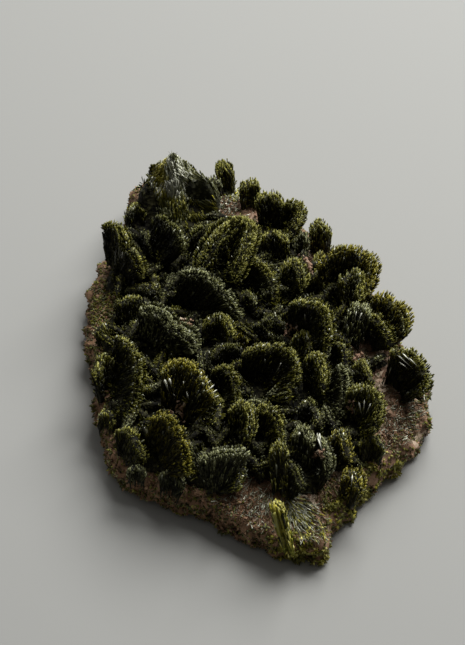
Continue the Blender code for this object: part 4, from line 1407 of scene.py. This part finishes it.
    def add_faces(self, prisms: Prisms, spacing: float) -> None:
        """Lay the long crystals that run from the foot towards the crest over the fan's faces.

        Args:
            prisms: What the crystals are added to.
            spacing: The distance between them.
        """
        dice = np.random.default_rng(self.seed + 5000)
        ends = 1.3 * self.thickness / self.length
        count = int(2.0 * self.length * (1.0 + ends) * self.reach * 0.53 / (spacing * 5.0))
        share = dice.random(count)
        side = np.where(dice.random(count) < 0.5, -1.0, 1.0)
        at_end = dice.random(count) < ends
        side = np.where(at_end, dice.random(count) * 1.8 - 0.9, side)
        share = np.where(at_end, np.where(share < 0.5, 0.0, 1.0), share)
        start = dice.random(count) ** 0.8 * 0.5
        stop = np.minimum(start + 0.2 + 0.3 * dice.random(count), 0.86)
        lean = dice.normal(0.0, 0.012, count)
        roots = self.inside(share, side * 0.72, start)
        tips = self.inside(share + lean, side * 0.96, stop)
        push = 0.1 + 0.25 * dice.random(count)
        along = self.along_at(share) * np.sign(share - 0.5)[:, None]
        out = np.where(at_end[:, None], along, self.at(share, self.across) * side[:, None])
        tips = tips + out * push[:, None]
        width = spacing * (0.8 + 0.8 * dice.random(count)) * self.fullness()
        # Painted shade: the face crystals stay near black, lighter only near the crest, with a few bright ones as
        # painted glints.
        high = 0.02 + stop ** 3 * 0.25 + 0.04 * dice.normal(size=count)
        high += (self.pale + self.glint_dots) * 4.0 * dice.random(count) ** 3
        high = np.clip(high + 0.8 * (dice.random(count) < 0.03), 0.02, 0.9)
        prisms.add(roots, tips, width, self.tones(share, side, dice), (high * 0.3, high), dice)

    def add_sprigs(self, prisms: Prisms, spacing: float) -> None:
        """Grow a few small tufts out of the fan's faces.

        Args:
            prisms: What the crystals are added to.
            spacing: One tuft grows on each square of this size.
        """
        dice = np.random.default_rng(self.seed + 7500)
        count = int(2.0 * self.length * self.reach * 0.7 / spacing ** 2)
        share = dice.random(count)
        side = np.where(dice.random(count) < 0.5, -1.0, 1.0)
        rise = 0.06 + 0.5 * dice.random(count)
        centres = self.inside(share, side * 0.9, rise)
        radial = unit(self.at(share, self.crest) - self.at(share, self.bases))
        axes = unit(self.at(share, self.across) * side[:, None] * 0.8 + radial + dice.normal(0.0, 0.3, (count, 3)))
        sizes = 0.8 + 1.3 * dice.random(count)
        # Painted light: tufts higher up the face are lighter, plus the fan's extra paleness.
        light = 0.06 + 0.35 * rise * dice.random(count) + self.pale
        tones = self.tones(share, side, dice)
        prisms.add_bursts(centres, axes, sizes, 8, 0.32, 0.32, light, tones, dice)


@dataclass
class Solids:
    """Dark lofted bodies that lie under the crystals."""

    points: list[np.ndarray] = field(default_factory=list)
    corners: list[np.ndarray] = field(default_factory=list)
    counts: list[np.ndarray] = field(default_factory=list)
    used: int = 0

    def add_loft(self, loops: np.ndarray) -> None:
        """Add a closed body through loops of points.

        Args:
            loops: One row of points for each loop.
        """
        count, wide = loops.shape[:2]
        index = np.arange(count * wide).reshape(count, wide) + self.used
        here, there = index[:-1], index[1:]
        quads = np.stack((here, np.roll(here, -1, 1), np.roll(there, -1, 1), there), axis=-1).reshape(-1, 4)
        self.points.append(loops.reshape(-1, 3))
        self.corners.append(np.concatenate((quads.ravel(), index[0][::-1], index[-1])))
        self.counts.append(np.concatenate((np.full(len(quads), 4), [wide, wide])))
        self.used += count * wide

    def mesh(self, name: str) -> bpy.types.Mesh:
        """Make the bodies into one mesh.

        Args:
            name: The mesh's name.

        Returns:
            The mesh.
        """
        return add_mesh(name, *(np.concatenate(rows) for rows in (self.points, self.corners, self.counts)))


@dataclass
class PeakCrag:
    """The craggy pyramid at the slab's far corner, with fine crystals streaked up its slopes."""

    view: FrontView
    rock: HostRock
    apex: tuple[float, float, float] = (-17.3, 41.7, 24.4)
    foot: tuple[float, float, float] = (-17.2, 31.8, 9.0)
    radius: float = 9.6
    sink: float = 0.6
    steepness: float = 0.92
    shoulder: tuple[float, float, float] = (-11.6, 36.4, 18.2)
    shoulder_size: tuple[float, float] = (5.0, 3.4)
    hollow: tuple[float, float, float] = (-11.6, 32.6, 9.4)
    hollow_size: tuple[float, float] = (3.2, 1.9)
    lump: tuple[float, float, float, float] = (-10.8, 29.4, 3.4, 2.4)
    pink_side: float = -22.0
    rim_share: float = 0.935
    blunt: float = 0.025
    ridges: float = 1.6
    rings: int = 46
    sectors: int = 150
    spacing: float = 0.285

    def spread(self, turn: np.ndarray) -> np.ndarray:
        """Measure how far the crag spreads from its middle, which stops short of the rock's edge.

        Args:
            turn: Directions in plan, in radians.

        Returns:
            One distance for each direction.
        """
        middle = self.view.at_height(*self.foot)[:2]
        steps = np.linspace(0.0, self.radius, 193)
        shares = self.rock.share_at(
            middle[0] + np.cos(turn)[:, None] * steps, middle[1] + np.sin(turn)[:, None] * steps)
        inside = np.logical_and.accumulate(shares < self.rim_share, axis=1)
        return steps[np.maximum(inside.sum(axis=1) - 1, 1)]

    def height(self, x: np.ndarray, y: np.ndarray) -> np.ndarray:
        """Find the height of the crag's surface over points in plan.

        Args:
            x: Their first coordinates.
            y: Their second coordinates.

        Returns:
            One height for each point.
        """
        top = self.view.at_height(*self.apex)
        middle = self.view.at_height(*self.foot)[:2]
        turn = np.arctan2(y - middle[1], x - middle[0])
        spread = self.spread(turn)
        outward = np.hypot(x - middle[0], y - middle[1]) / spread
        away = outward * spread / self.radius
        lean = np.clip(1.0 - away, 0.0, 1.0)[:, None] * (top[:2] - middle) * 0.6
        away = np.hypot(x - lean[:, 0] - middle[0], y - lean[:, 1] - middle[1]) / self.radius
        away = np.maximum(away, self.blunt)
        ribs = np.array([noise.noise((2.2 * math.cos(a), 2.2 * math.sin(a), r)) for a, r in zip(turn, away)])
        places = np.stack((x, y, np.zeros_like(x)), axis=1)
        ground = self.rock.heights(x, y) - self.sink
        cone = top[2] - (top[2] - 7.0) * (away * (1.0 + 0.22 * ribs)) ** self.steepness
        cone += self.ridges * (0.4 - np.abs(relief_at(places, 4.2, 3))) * np.clip(away * 4.0, 0.0, 1.0)
        centre = self.view.at_height(*self.shoulder)[:2]
        wide, deep = self.shoulder_size
        away = np.hypot((x - centre[0]) / wide, (y - centre[1]) / deep)
        cone = np.maximum(cone, self.shoulder[2] - 9.0 * away ** 1.2)
        across, up, size, width = self.lump
        centre = self.view.at_height(across, up, 12.0)[:2]
        cone += size * np.exp(-((x - centre[0]) ** 2 + (y - centre[1]) ** 2) / (width * width))
        wide, deep = self.hollow_size
        away = np.hypot((x - self.hollow[0]) / wide, (y - self.hollow[1]) / deep)
        cone += np.minimum(self.hollow[2] - cone, 0.0) * np.exp(-away ** 6)
        cone += np.minimum(ground - cone, 0.0) * eased((outward - 0.8) / 0.18) * (spread < 0.98 * self.radius)
        return np.where(x < self.pink_side, ground - 1.0, np.maximum(cone, ground))

    def grid(self) -> np.ndarray:
        """Lay out the crag's surface ring by ring from its middle.

        Returns:
            For each ring, one point for each sector.
        """
        middle = self.view.at_height(*self.foot)[:2]
        turn = np.linspace(-math.pi, math.pi, self.sectors, endpoint=False)
        out = np.linspace(0.02, 1.0, self.rings)[:, None] * self.spread(turn)
        x = (middle[0] + np.cos(turn) * out).ravel()
        y = (middle[1] + np.sin(turn) * out).ravel()
        return np.stack((x, y, self.height(x, y)), axis=1).reshape(self.rings, self.sectors, 3)

    def build(self, crystal: bpy.types.Material, druse: bpy.types.Material) -> None:
        """Make the crag's body and its crystals.

        Args:
            crystal: The finish of its crystals.
            druse: The finish of the body under them.
        """
        grid = self.grid()
        wide, count = self.sectors, self.rings * self.sectors
        floor = np.full(count, 4.0)
        index = np.arange(count).reshape(-1, wide)
        here, there = index[:-1], index[1:]
        quads = np.stack((here, there, np.roll(there, -1, 1), np.roll(here, -1, 1)), axis=-1).reshape(-1, 4)
        edge, below = index[-1], np.arange(wide) + count
        wall = np.stack((edge, below, np.roll(below, -1), np.roll(edge, -1)), axis=-1)
        base = np.column_stack((grid[-1, :, :2], floor[:wide]))
        corners = np.concatenate((quads.ravel(), wall.ravel(), index[0], below[::-1]))
        counts = np.concatenate((np.full(len(quads) + wide, 4), [wide, wide]))
        body = add_mesh("peak_crag", np.concatenate((grid.reshape(-1, 3), base)), corners, counts)
        add_piece(body, druse)
        add_piece(self.crystals(grid).mesh("peak_crystals"), crystal)

    def crystals(self, grid: np.ndarray) -> Prisms:
        """Grow the crystals that lie on the crag's slopes and point up them.

        Args:
            grid: The crag's surface.

        Returns:
            The crystals.
        """
        dice = np.random.default_rng(91)
        a, b = grid[:-1], grid[1:]
        sides, downs = np.roll(a, -1, 1) - a, b - a
        normals = np.cross(downs, sides)
        area = np.linalg.norm(normals, axis=-1).ravel()
        count = int(area.sum() / self.spacing ** 2)
        cell = dice.choice(len(area), count, p=area / area.sum())
        normal = unit(normals.reshape(-1, 3)[cell])
        down = downs.reshape(-1, 3)[cell]
        points = a.reshape(-1, 3)[cell] + dice.random((count, 1)) * down
        points += dice.random((count, 1)) * sides.reshape(-1, 3)[cell]
        across, up = self.view.seen(points).T
        clear = points[:, 2] > self.rock.heights(points[:, 0], points[:, 1]) - 0.2
        clear &= (across > self.pink_side - 1.0 + 0.6 * dice.normal(size=count))
        swirl = relief_at(points, 4.0, 1)
        cross = np.cross(normal, down)
        heading = unit(-unit(down) + unit(cross) * (0.7 * swirl)[:, None] + normal * 0.08
                       + dice.normal(0.0, 0.05, (count, 3)))
        patch = relief_at(points + 20.0, 2.6, 2) + 0.15 * dice.normal(size=count)
        left = across < -18.4 + 1.2 * swirl
        low = up < 31.4
        tone = np.where(patch > -0.2, Tone.PALE.value, Tone.GREY.value)
        tone = np.where((across > -14.4) & (patch < 0.0), Tone.GREY.value, tone)
        tone = np.where(left, np.where(patch > 0.15, Tone.PALE.value, Tone.GOLD.value), tone)
        tone = np.where(left & (dice.random(count) < 0.3), Tone.BACKLIT.value, tone)
        tone = np.where(low, np.where(patch > 0.1, Tone.GREY.value, Tone.OLIVE.value), tone)
        tone = np.where(low & (dice.random(count) < 0.12), Tone.BACKLIT.value, tone)
        # Partly the crag's pale colour, partly painted light: pale on slopes that face the view, lighter still on the
        # left slope, a little darker low down, and darker on slopes that face away from the view.
        light = 0.78 + 0.25 * patch + 0.1 * dice.normal(size=count) - 0.05 * low + 0.1 * left
        light = np.clip(light, 0.08, 0.95)
        hidden = normal @ self.view.back() < -0.02
        tone = np.where(hidden & (tone != Tone.GREY.value), np.where(patch > 0.3, tone, Tone.OLIVE.value), tone)
        light = light - 0.3 * hidden
        reach = (1.2 + 2.2 * dice.random(count)) * np.clip((self.apex[1] - up) / 5.0, 0.3, 1.0)
        tips = points + heading * reach[:, None] + normal * 0.12
        roots = points - heading * 1.2 - normal * 0.15
        clear &= self.view.seen(tips)[:, 1] < self.apex[1] - 0.2
        for spots in (points, (points + tips) / 2.0, tips):
            spot = self.view.seen(spots)
            clear &= hidden | (np.hypot((spot[:, 0] + 12.1) / 2.9, (spot[:, 1] - 33.9) / 1.7) > 1.0)
        prisms = Prisms()
        width = self.spacing * (0.8 + 0.7 * dice.random(count))
        growth_and_light = ((light * 0.72)[clear], light[clear])
        prisms.add(roots[clear], tips[clear], width[clear], tone[clear], growth_and_light, dice)
        return prisms


@dataclass
class CrystalGrowth:
    """All the crystals: the listed sprays, the low ones between them, and the druse."""

    view: FrontView
    rock: HostRock
    gap: float = 0.3
    crust: float = 1.3
    sink: float = 1.0
    lift: float = 0.6
    least_lean: float = 0.4
    most_lean: float = 0.8
    needle: float = 0.305
    flank_needle: float = 0.37
    sprig_spacing: float = 4.0
    fill_tries: int = 420
    fill_share: float = 0.9
    fill_reach: tuple[float, float] = (3.0, 6.2)
    fill_clearance: float = 0.4
    fill_spread: float = 0.7
    fill_lean: float = 0.35
    fill_thickness: float = 1.5
    sheet_sectors: int = 230
    sheet_rings: int = 40
    tuft_count: int = 1500
    tuft_needles: int = 8
    rim_count: int = 13000
    green_places: tuple[tuple[float, float, float], ...] = (
        (8.0, -39.5, 7.0), (17.5, -29.5, 5.5), (25.0, -22.0, 4.0))
    bands: tuple[tuple[str, float], ...] = (
        ("far_sheaves", 22.0), ("upper_sheaves", 8.0), ("middle_sheaves", -6.0),
        ("lower_sheaves", -17.0), ("front_sheaves", -99.0))
    fans: list[Fan] = field(default_factory=list)
    crag: PeakCrag = field(init=False)

    def __post_init__(self) -> None:
        """Set out the crag, which the low fans keep clear of."""
        self.crag = PeakCrag(self.view, self.rock)

    def crest_point(self, place: tuple[float, float], foot: np.ndarray, reach: float) -> np.ndarray:
        """Find the crystal tip that is seen at a place in the view.

        Args:
            place: Across and up in the view.
            foot: Where the crystals start.
            reach: How long they are.

        Returns:
            The point, nearer the eye than the foot by a share of the reach.
        """
        eye, ray = self.view.eye(), self.view.ray(*place)
        nearest = eye + ray * float((foot - eye) @ ray)
        miss = float(np.linalg.norm(nearest - foot))
        lean = math.sqrt(max(reach * reach - miss * miss, 0.0))
        return nearest - ray * min(max(lean, self.least_lean * reach), self.most_lean * reach)

    def placed(self, spray: Spray, seed: int) -> Fan:
        """Put a listed spray in its place.

        Args:
            spray: The table's row.
            seed: What its random numbers start from.

        Returns:
            The fan.
        """
        foot = self.rock.on_top(*spray.foot)
        marks = np.array([self.crest_point(place, foot, spray.reach) for place in spray.crest])
        fan = Fan(foot, marks, spray.thickness, spray.tone, seed, spray.pale)
        fan.settle(self.rock, -self.sink if spray.node else self.gap + self.lift)
        self.fans.append(fan)
        return fan

    def fillers(self) -> list[tuple[float, Fan]]:
        """Place low fans on the ground between the listed ones, tried along a spiral.

        Returns:
            How far back each one is, and the fan.
        """
        dice = random.Random(5)
        rock = self.rock
        taken = [(rock.on_top(*s.foot)[:2], 0.24 * s.reach) for s in (*GROWN_SPRAYS, *RIM_SPRAYS)]
        taken += rock.patches
        taken.append((self.view.at_height(*self.crag.foot)[:2], self.crag.radius * 0.9))
        made = []
        for step in range(self.fill_tries):
            angle = step * math.pi * (3.0 - math.sqrt(5.0))
            edge = np.interp((angle + math.pi) % (2.0 * math.pi) - math.pi, rock.angles, rock.radii)
            radius = edge * self.fill_share * math.sqrt((step + 0.5) / self.fill_tries)
            place = rock.middle + radius * np.array((math.cos(angle), math.sin(angle)))
            if any(np.linalg.norm(place - other) < room + self.fill_clearance for other, room in taken):
                continue
            reach = dice.uniform(*self.fill_reach)
            taken.append((place, 0.42 * reach))
            foot = np.array((*place, rock.height(*place)))
            heading = dice.uniform(0.0, math.pi)
            lean = np.array((dice.uniform(-self.fill_lean, self.fill_lean),
                             dice.uniform(-self.fill_lean, self.fill_lean), 1.0))
            across = np.array((math.cos(heading), math.sin(heading), 0.0))
            marks = np.array([foot + reach * unit(lean + across * side * self.fill_spread) for side in (-1, 0, 1)])
            tone = dice.choice((Tone.MOSS, Tone.OLIVE, Tone.GREY, Tone.MOSS))
            fan = Fan(foot, marks, self.fill_thickness, tone, 400 + step)
            fan.settle(rock, self.gap + self.lift)
            made.append((float(place[1]), fan))
        return made

    def grow(self, finish: bpy.types.Material, druse: bpy.types.Material) -> None:
        """Make every piece of crystal.

        Args:
            finish: The crystals' material.
            druse: The material of the dull crust and bodies under them.
        """
        bands = {name: (Prisms(), Solids()) for name, _ in self.bands}
        for seed, spray in enumerate(GROWN_SPRAYS, 1):
            self.fill(bands[self.band_of(spray.foot[1])], self.placed(spray, seed))
        for back, fan in self.fillers():
            up = (back - self.view.target[1]) * math.sin(self.view.elevation)
            self.fill(bands[self.band_of(up)], fan)
        for name, (prisms, solids) in bands.items():
            add_piece(prisms.mesh(name), finish, ("epidote_crust",))
            add_piece(solids.mesh(f"{name}_bodies"), druse)
        # Painted through-light: the bodies of backlit sprays are a bright green, as if lit from behind.
        clear = EpidoteDruse("backlit_druse", "#55560f", "#70721c", "#94963c").material()
        for seed, spray in enumerate(RIM_SPRAYS, 101):
            batch = (Prisms(), Solids())
            self.fill(batch, self.placed(spray, seed))
            add_piece(batch[0].mesh(f"{spray.node}_crystals"), finish, (spray.node,))
            body = clear if spray.tone is Tone.BACKLIT else druse
            add_piece(batch[1].mesh(f"{spray.node}_body"), body)
        self.crag.build(finish, EpidoteDruse("pale_druse", "#1c1d12", "#3a3b24", "#5c5d48").material())
        self.add_sheet(druse)
        self.add_tufts(finish)
        self.add_rim_grains(finish)
        self.add_strands(finish)
        self.add_glints(finish)

    def band_of(self, up: float) -> str:
        """Return the name of the piece that holds what is this far up the view."""
        return next(name for name, limit in self.bands if up > limit)

    def fill(self, batch: tuple[Prisms, Solids], fan: Fan) -> None:
        """Add one fan's crystals and its body to a batch.

        Args:
            batch: The crystals and bodies so far.
            fan: The fan to add.
        """
        prisms, solids = batch
        fan.add_core(solids)
        fan.add_crest(prisms, self.needle)
        fan.add_flanks(prisms, self.flank_needle)
        fan.add_faces(prisms, self.needle)
        fan.add_sprigs(prisms, self.sprig_spacing)

    def crust_top(self, x: np.ndarray, y: np.ndarray, cover: np.ndarray, ground: np.ndarray) -> np.ndarray:
        """Find the height of the crust's surface, which dips under the rock's where that is bare.

        Args:
            x: First coordinates of points in plan.
            y: Their second coordinates.
            cover: Where the crust covers the rock.
            ground: The rock's height.

        Returns:
            One height for each point.
        """
        grain = relief_at(np.stack((x, y, np.zeros_like(x)), axis=1), 1.8, 3)
        return ground + (self.gap + 0.9 * self.crust + 0.6 * grain) * cover - 0.35 * (1.0 - cover)

    def add_sheet(self, finish: bpy.types.Material) -> None:
        """Lay the grainy crust of tiny crystals on the rock, thinning out where the rock is bare.

        Args:
            finish: The crust's material.
        """
        rock = self.rock
        turn = np.linspace(-math.pi, math.pi, self.sheet_sectors, endpoint=False)
        shares = np.linspace(0.02, rock.top_share, self.sheet_rings)
        radius = np.interp(turn, rock.angles, rock.radii)
        x = (rock.middle[0] + np.cos(turn) * radius * shares[:, None]).ravel()
        y = (rock.middle[1] + np.sin(turn) * radius * shares[:, None]).ravel()
        cover = rock.cover(x, y)
        ground = rock.heights(x, y)
        top = self.crust_top(x, y, cover, ground)
        upper = np.stack((x, y, top), axis=1)
        lower = np.stack((x, y, np.minimum(top - 0.2, ground - 0.7)), axis=1)
        wide = self.sheet_sectors
        index = np.arange(len(x)).reshape(-1, wide)
        here, there = index[:-1], index[1:]
        quads = np.stack((here, there, np.roll(there, -1, 1), np.roll(here, -1, 1)), axis=-1).reshape(-1, 4)
        rim = np.stack((index[-1], index[-1] + len(x), np.roll(index[-1], -1) + len(x), np.roll(index[-1], -1)), axis=-1)
        corners = np.concatenate((
            quads.ravel(), quads[:, ::-1].ravel() + len(x), rim.ravel(), index[0], index[0][::-1] + len(x)))
        counts = np.concatenate((np.full(2 * len(quads) + wide, 4), [wide, wide]))
        mesh = add_mesh("druse_crust", np.concatenate((upper, lower)), corners, counts)
        add_piece(mesh, finish)

    def add_tufts(self, finish: bpy.types.Material) -> None:
        """Grow the small tufts of needles that fill the ground between the sprays.

        Args:
            finish: The crystals' material.
        """
        dice = np.random.default_rng(77)
        rock, count = self.rock, self.tuft_count * 2
        turn = dice.random(count) * 2.0 * math.pi - math.pi
        out = np.sqrt(dice.random(count)) * np.interp(turn, rock.angles, rock.radii) * 0.95
        x = rock.middle[0] + np.cos(turn) * out
        y = rock.middle[1] + np.sin(turn) * out
        cover = rock.cover(x, y)
        kept = np.flatnonzero(cover > dice.random(count) * 0.9 + 0.06)[:self.tuft_count]
        x, y, cover = x[kept], y[kept], cover[kept]
        ground = rock.heights(x, y)
        lean = unit(np.stack((*dice.normal(0.0, 0.35, (2, len(x))), np.ones(len(x))), axis=1))
        size = (0.8 + 2.2 * dice.random(len(x)) ** 2) * (0.5 + 0.5 * cover)
        draw = dice.random(len(x))
        tone = np.where(draw < 0.4, Tone.OLIVE.value, np.where(draw < 0.6, Tone.GREY.value, Tone.MOSS.value))
        prisms = Prisms()
        centres = np.stack((x, y, self.crust_top(x, y, cover, ground) - 0.1), axis=1)
        prisms.add_bursts(centres, lean, size, self.tuft_needles, 0.42, 0.36, 0.1 + 0.17 * size, tone, dice)
        add_piece(prisms.mesh("needle_tufts"), finish)

    def add_rim_grains(self, finish: bpy.types.Material) -> None:
        """Scatter the small stubby crystals that stud the slab's broken rim.

        Args:
            finish: The crystals' material.
        """
        dice = np.random.default_rng(78)
        points, away = self.rock.rim_places(self.rim_count, dice)
        left = eased((6.0 - points[:, 0] - 0.3 * points[:, 1]) / 20.0)
        bunch = relief_at(points, 2.4, 2)
        kept = bunch + 0.5 * left > -0.15 + 0.25 * dice.normal(size=len(points))
        points, away, left, bunch = points[kept], away[kept], left[kept], bunch[kept]
        heading = unit(away + dice.normal(0.0, 0.55, points.shape))
        size = 0.35 + 0.45 * dice.random(len(points)) + 0.5 * np.clip(bunch, 0.0, 1.0)
        draw = dice.random(len(points))
        olive = np.where(draw < 0.5, Tone.OLIVE.value, np.where(draw < 0.75, Tone.GREY.value, Tone.MOSS.value))
        tone = np.where(dice.random(len(points)) < 0.2 + 0.15 * left, Tone.BROWN.value, olive)
        across, up = self.view.seen(points).T
        green = np.zeros(len(points), dtype=bool)
        for middle, height, radius in self.green_places:
            green |= np.hypot(across - middle, up - height) < radius * (0.7 + 0.3 * dice.random(len(points)))
        # The green places are real yellow green crystals, partly painted as if lit through from behind.
        lit = np.where(draw < 0.2, Tone.BACKLIT.value, np.where(draw < 0.5, Tone.GOLD.value, Tone.OLIVE.value))
        tone = np.where(green, lit, tone)
        size = size + 0.3 * green
        prisms = Prisms()
        roots = points - heading * 0.4
        tips = points + heading * (size * (0.7 + 0.6 * np.clip(bunch, 0.0, 1.0)))[:, None]
        tips[:, 2] = np.maximum(tips[:, 2], 0.6)
        roots[:, 2] = np.maximum(roots[:, 2], 0.3)
        light = 0.6 + 0.4 * dice.random(len(points))
        prisms.add(roots, tips, size, tone, (0.3, light), dice)
        add_piece(prisms.mesh("rim_grains"), finish)

    def add_strands(self, finish: bpy.types.Material) -> None:
        """Lay the pale flat-lying crystals over the bare rock at the front and the right.

        Args:
            finish: The crystals' material.
        """
        dice = np.random.default_rng(79)
        prisms = Prisms()
        for field_of in STRAND_FIELDS:
            source = self.rock.on_top(*field_of.source)
            centre = self.rock.on_top(*field_of.centre)
            x, y = (centre[:2] + dice.normal(0.0, 0.5 * field_of.radius, (field_of.count, 2))).T
            inside = self.rock.share_at(x, y) < 0.97
            x, y = x[inside], y[inside]
            ground = self.rock.heights(x, y)
            away = unit(np.stack((x - source[0], y - source[1], np.zeros_like(x)), axis=1))
            heading = unit(away + dice.normal(0.0, field_of.tangle, away.shape) * (1.0, 1.0, 0.25))
            reach = 0.5 * (1.2 + (field_of.longest - 1.2) * dice.random(len(x)) ** 2)
            middle = np.stack((x, y, ground + 0.12 + 0.25 * dice.random(len(x))), axis=1)
            roots = middle - heading * reach[:, None]
            tips = middle + heading * reach[:, None]
            for end in (roots, tips):
                floor = self.rock.heights(end[:, 0], end[:, 1])
                end[:, 2] = np.maximum(end[:, 2] * 0.4 + floor * 0.6, floor - 0.1) + 0.12
            tone = np.array([t.value for t in field_of.tones])[dice.integers(0, len(field_of.tones), len(x))]
            high = 0.4 + 0.5 * dice.random(len(x))
            width = field_of.width * (0.75 + 0.5 * dice.random(len(x)))
            prisms.add(roots, tips, width, tone, (high * 0.7, high), dice)
        add_piece(prisms.mesh("rock_strands"), finish)

    def nearest_fan(self, place: tuple[float, float]) -> Fan:
        """Return the fan whose foot is nearest to the one that is seen at a place in the view."""
        foot = self.rock.on_top(*place)
        return min(self.fans, key=lambda other: float(np.linalg.norm(other.foot - foot)))

    def add_chips(self, stone: bpy.types.Material) -> None:
        """Set the listed chips of host rock on the fans' faces, each a cluster of stubby grains.

        Args:
            stone: The host rock's material.
        """
        dice = np.random.default_rng(81)
        prisms = Prisms()
        for chip in ROCK_CHIPS:
            fan = self.nearest_fan(chip.foot)
            places = np.array(chip.place) + dice.uniform(-1.0, 1.0, (chip.grains, 2)) * chip.size
            centres = np.array([fan.on_face(self.view, tuple(place)) for place in places])
            heading = unit(self.view.back() + dice.normal(0.0, 0.5, centres.shape))
            size = 0.5 + 0.6 * dice.random(chip.grains)
            tips = centres + heading * (0.25 * size)[:, None]
            prisms.add(centres - heading * 0.9, tips, size, 0.0, (0.0, 0.0), dice)
        add_piece(prisms.mesh("rock_chips", mapped=False), stone)

    def add_glints(self, finish: bpy.types.Material) -> None:
        """Lay the listed long bright crystals on the fans' faces: pale bars that paint highlights, and the blade of the
        front spray.

        Args:
            finish: The crystals' material.
        """
        dice = np.random.default_rng(80)
        ends = []
        for glint in GLINTS:
            fan = self.nearest_fan(glint.foot)
            ends.append((fan.on_face(self.view, glint.end), fan.on_face(self.view, glint.start)))
        ends = np.array(ends)
        prisms = Prisms()
        width = np.array([glint.width for glint in GLINTS])
        tone = np.array([glint.tone.value for glint in GLINTS])
        low = np.where(tone == Tone.PALE.value, 0.9, np.where(tone == Tone.BACKLIT.value, 0.45, 0.7))
        prisms.add(ends[:, 0], ends[:, 1], width, tone, (low, low + 0.1), dice)
        add_piece(prisms.mesh("glints_and_blade"), finish)


@dataclass
class Studio:
    """A pale floor under a large soft light from behind and above, with a weak fill."""

    floor_size: float = 4.0
    key_power: float = 7.6
    key_size: float = 0.5
    key_place: tuple[float, float, float] = (0.24, 0.38, 0.52)
    world_front: str = "#7e7d7a"
    world_back: str = "#ffffff"
    world_strength: float = 0.3

    def build(self, finish: bpy.types.Material) -> None:
        """Make the floor, the light and the world.

        Args:
            finish: The floor's material.
        """
        half = self.floor_size / 2.0 / MM
        points = np.array(((-half, -half, 0.0), (half, -half, 0.0), (half, half, 0.0), (-half, half, 0.0)))
        mesh = add_mesh("floor", points - np.array((0.0, 0.0, 0.02)), np.arange(4), np.array([4]))
        mesh.materials.append(finish)
        floor = bpy.data.objects.new("floor", mesh)
        bpy.context.scene.collection.objects.link(floor)
        light = bpy.data.lights.new("softbox", "AREA")
        light.energy = self.key_power
        light.size = self.key_size
        lamp = bpy.data.objects.new("softbox", light)
        lamp.location = self.key_place
        lamp.rotation_euler = (-Vector(self.key_place)).to_track_quat("-Z", "Y").to_euler()
        bpy.context.scene.collection.objects.link(lamp)
        world = bpy.data.worlds.new("studio")
        bpy.context.scene.world = world
        world.use_nodes = True
        world.node_tree.nodes.clear()
        place = add_node(world.node_tree, "ShaderNodeTexCoord").outputs["Generated"]
        split = add_node(world.node_tree, "ShaderNodeSeparateXYZ", {"Vector": place})
        back = add_node(world.node_tree, "ShaderNodeMapRange", {
            "Value": split.outputs["Y"], "From Min": -0.5, "From Max": 0.5})
        shade = add_node(world.node_tree, "ShaderNodeMixRGB", {
            "Fac": back.outputs[0], "Color1": linear(self.world_front), "Color2": linear(self.world_back)})
        sky = add_node(world.node_tree, "ShaderNodeBackground", {
            "Color": shade.outputs[0], "Strength": self.world_strength})
        add_node(world.node_tree, "ShaderNodeOutputWorld", {"Surface": sky.outputs[0]})
        bpy.context.scene.view_settings.view_transform = "Standard"


def main() -> None:
    """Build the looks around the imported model."""
    logging.basicConfig(level=logging.INFO, format="%(name)s: %(message)s")
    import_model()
    view = FrontView()
    view.add_camera()
    rock = HostRock(view)
    stone = FelsparRock().material()
    add_piece(rock.mesh(), stone, ("matrix",))
    add_piece(rock.grit(10500), stone)
    growth_and_light = CrystalGrowth(view, rock)
    growth_and_light.grow(EpidoteCrystal().material(), EpidoteDruse().material())
    growth_and_light.add_chips(stone)
    Studio().build(StudioCard().material())


if __name__ == "__main__":
    main()
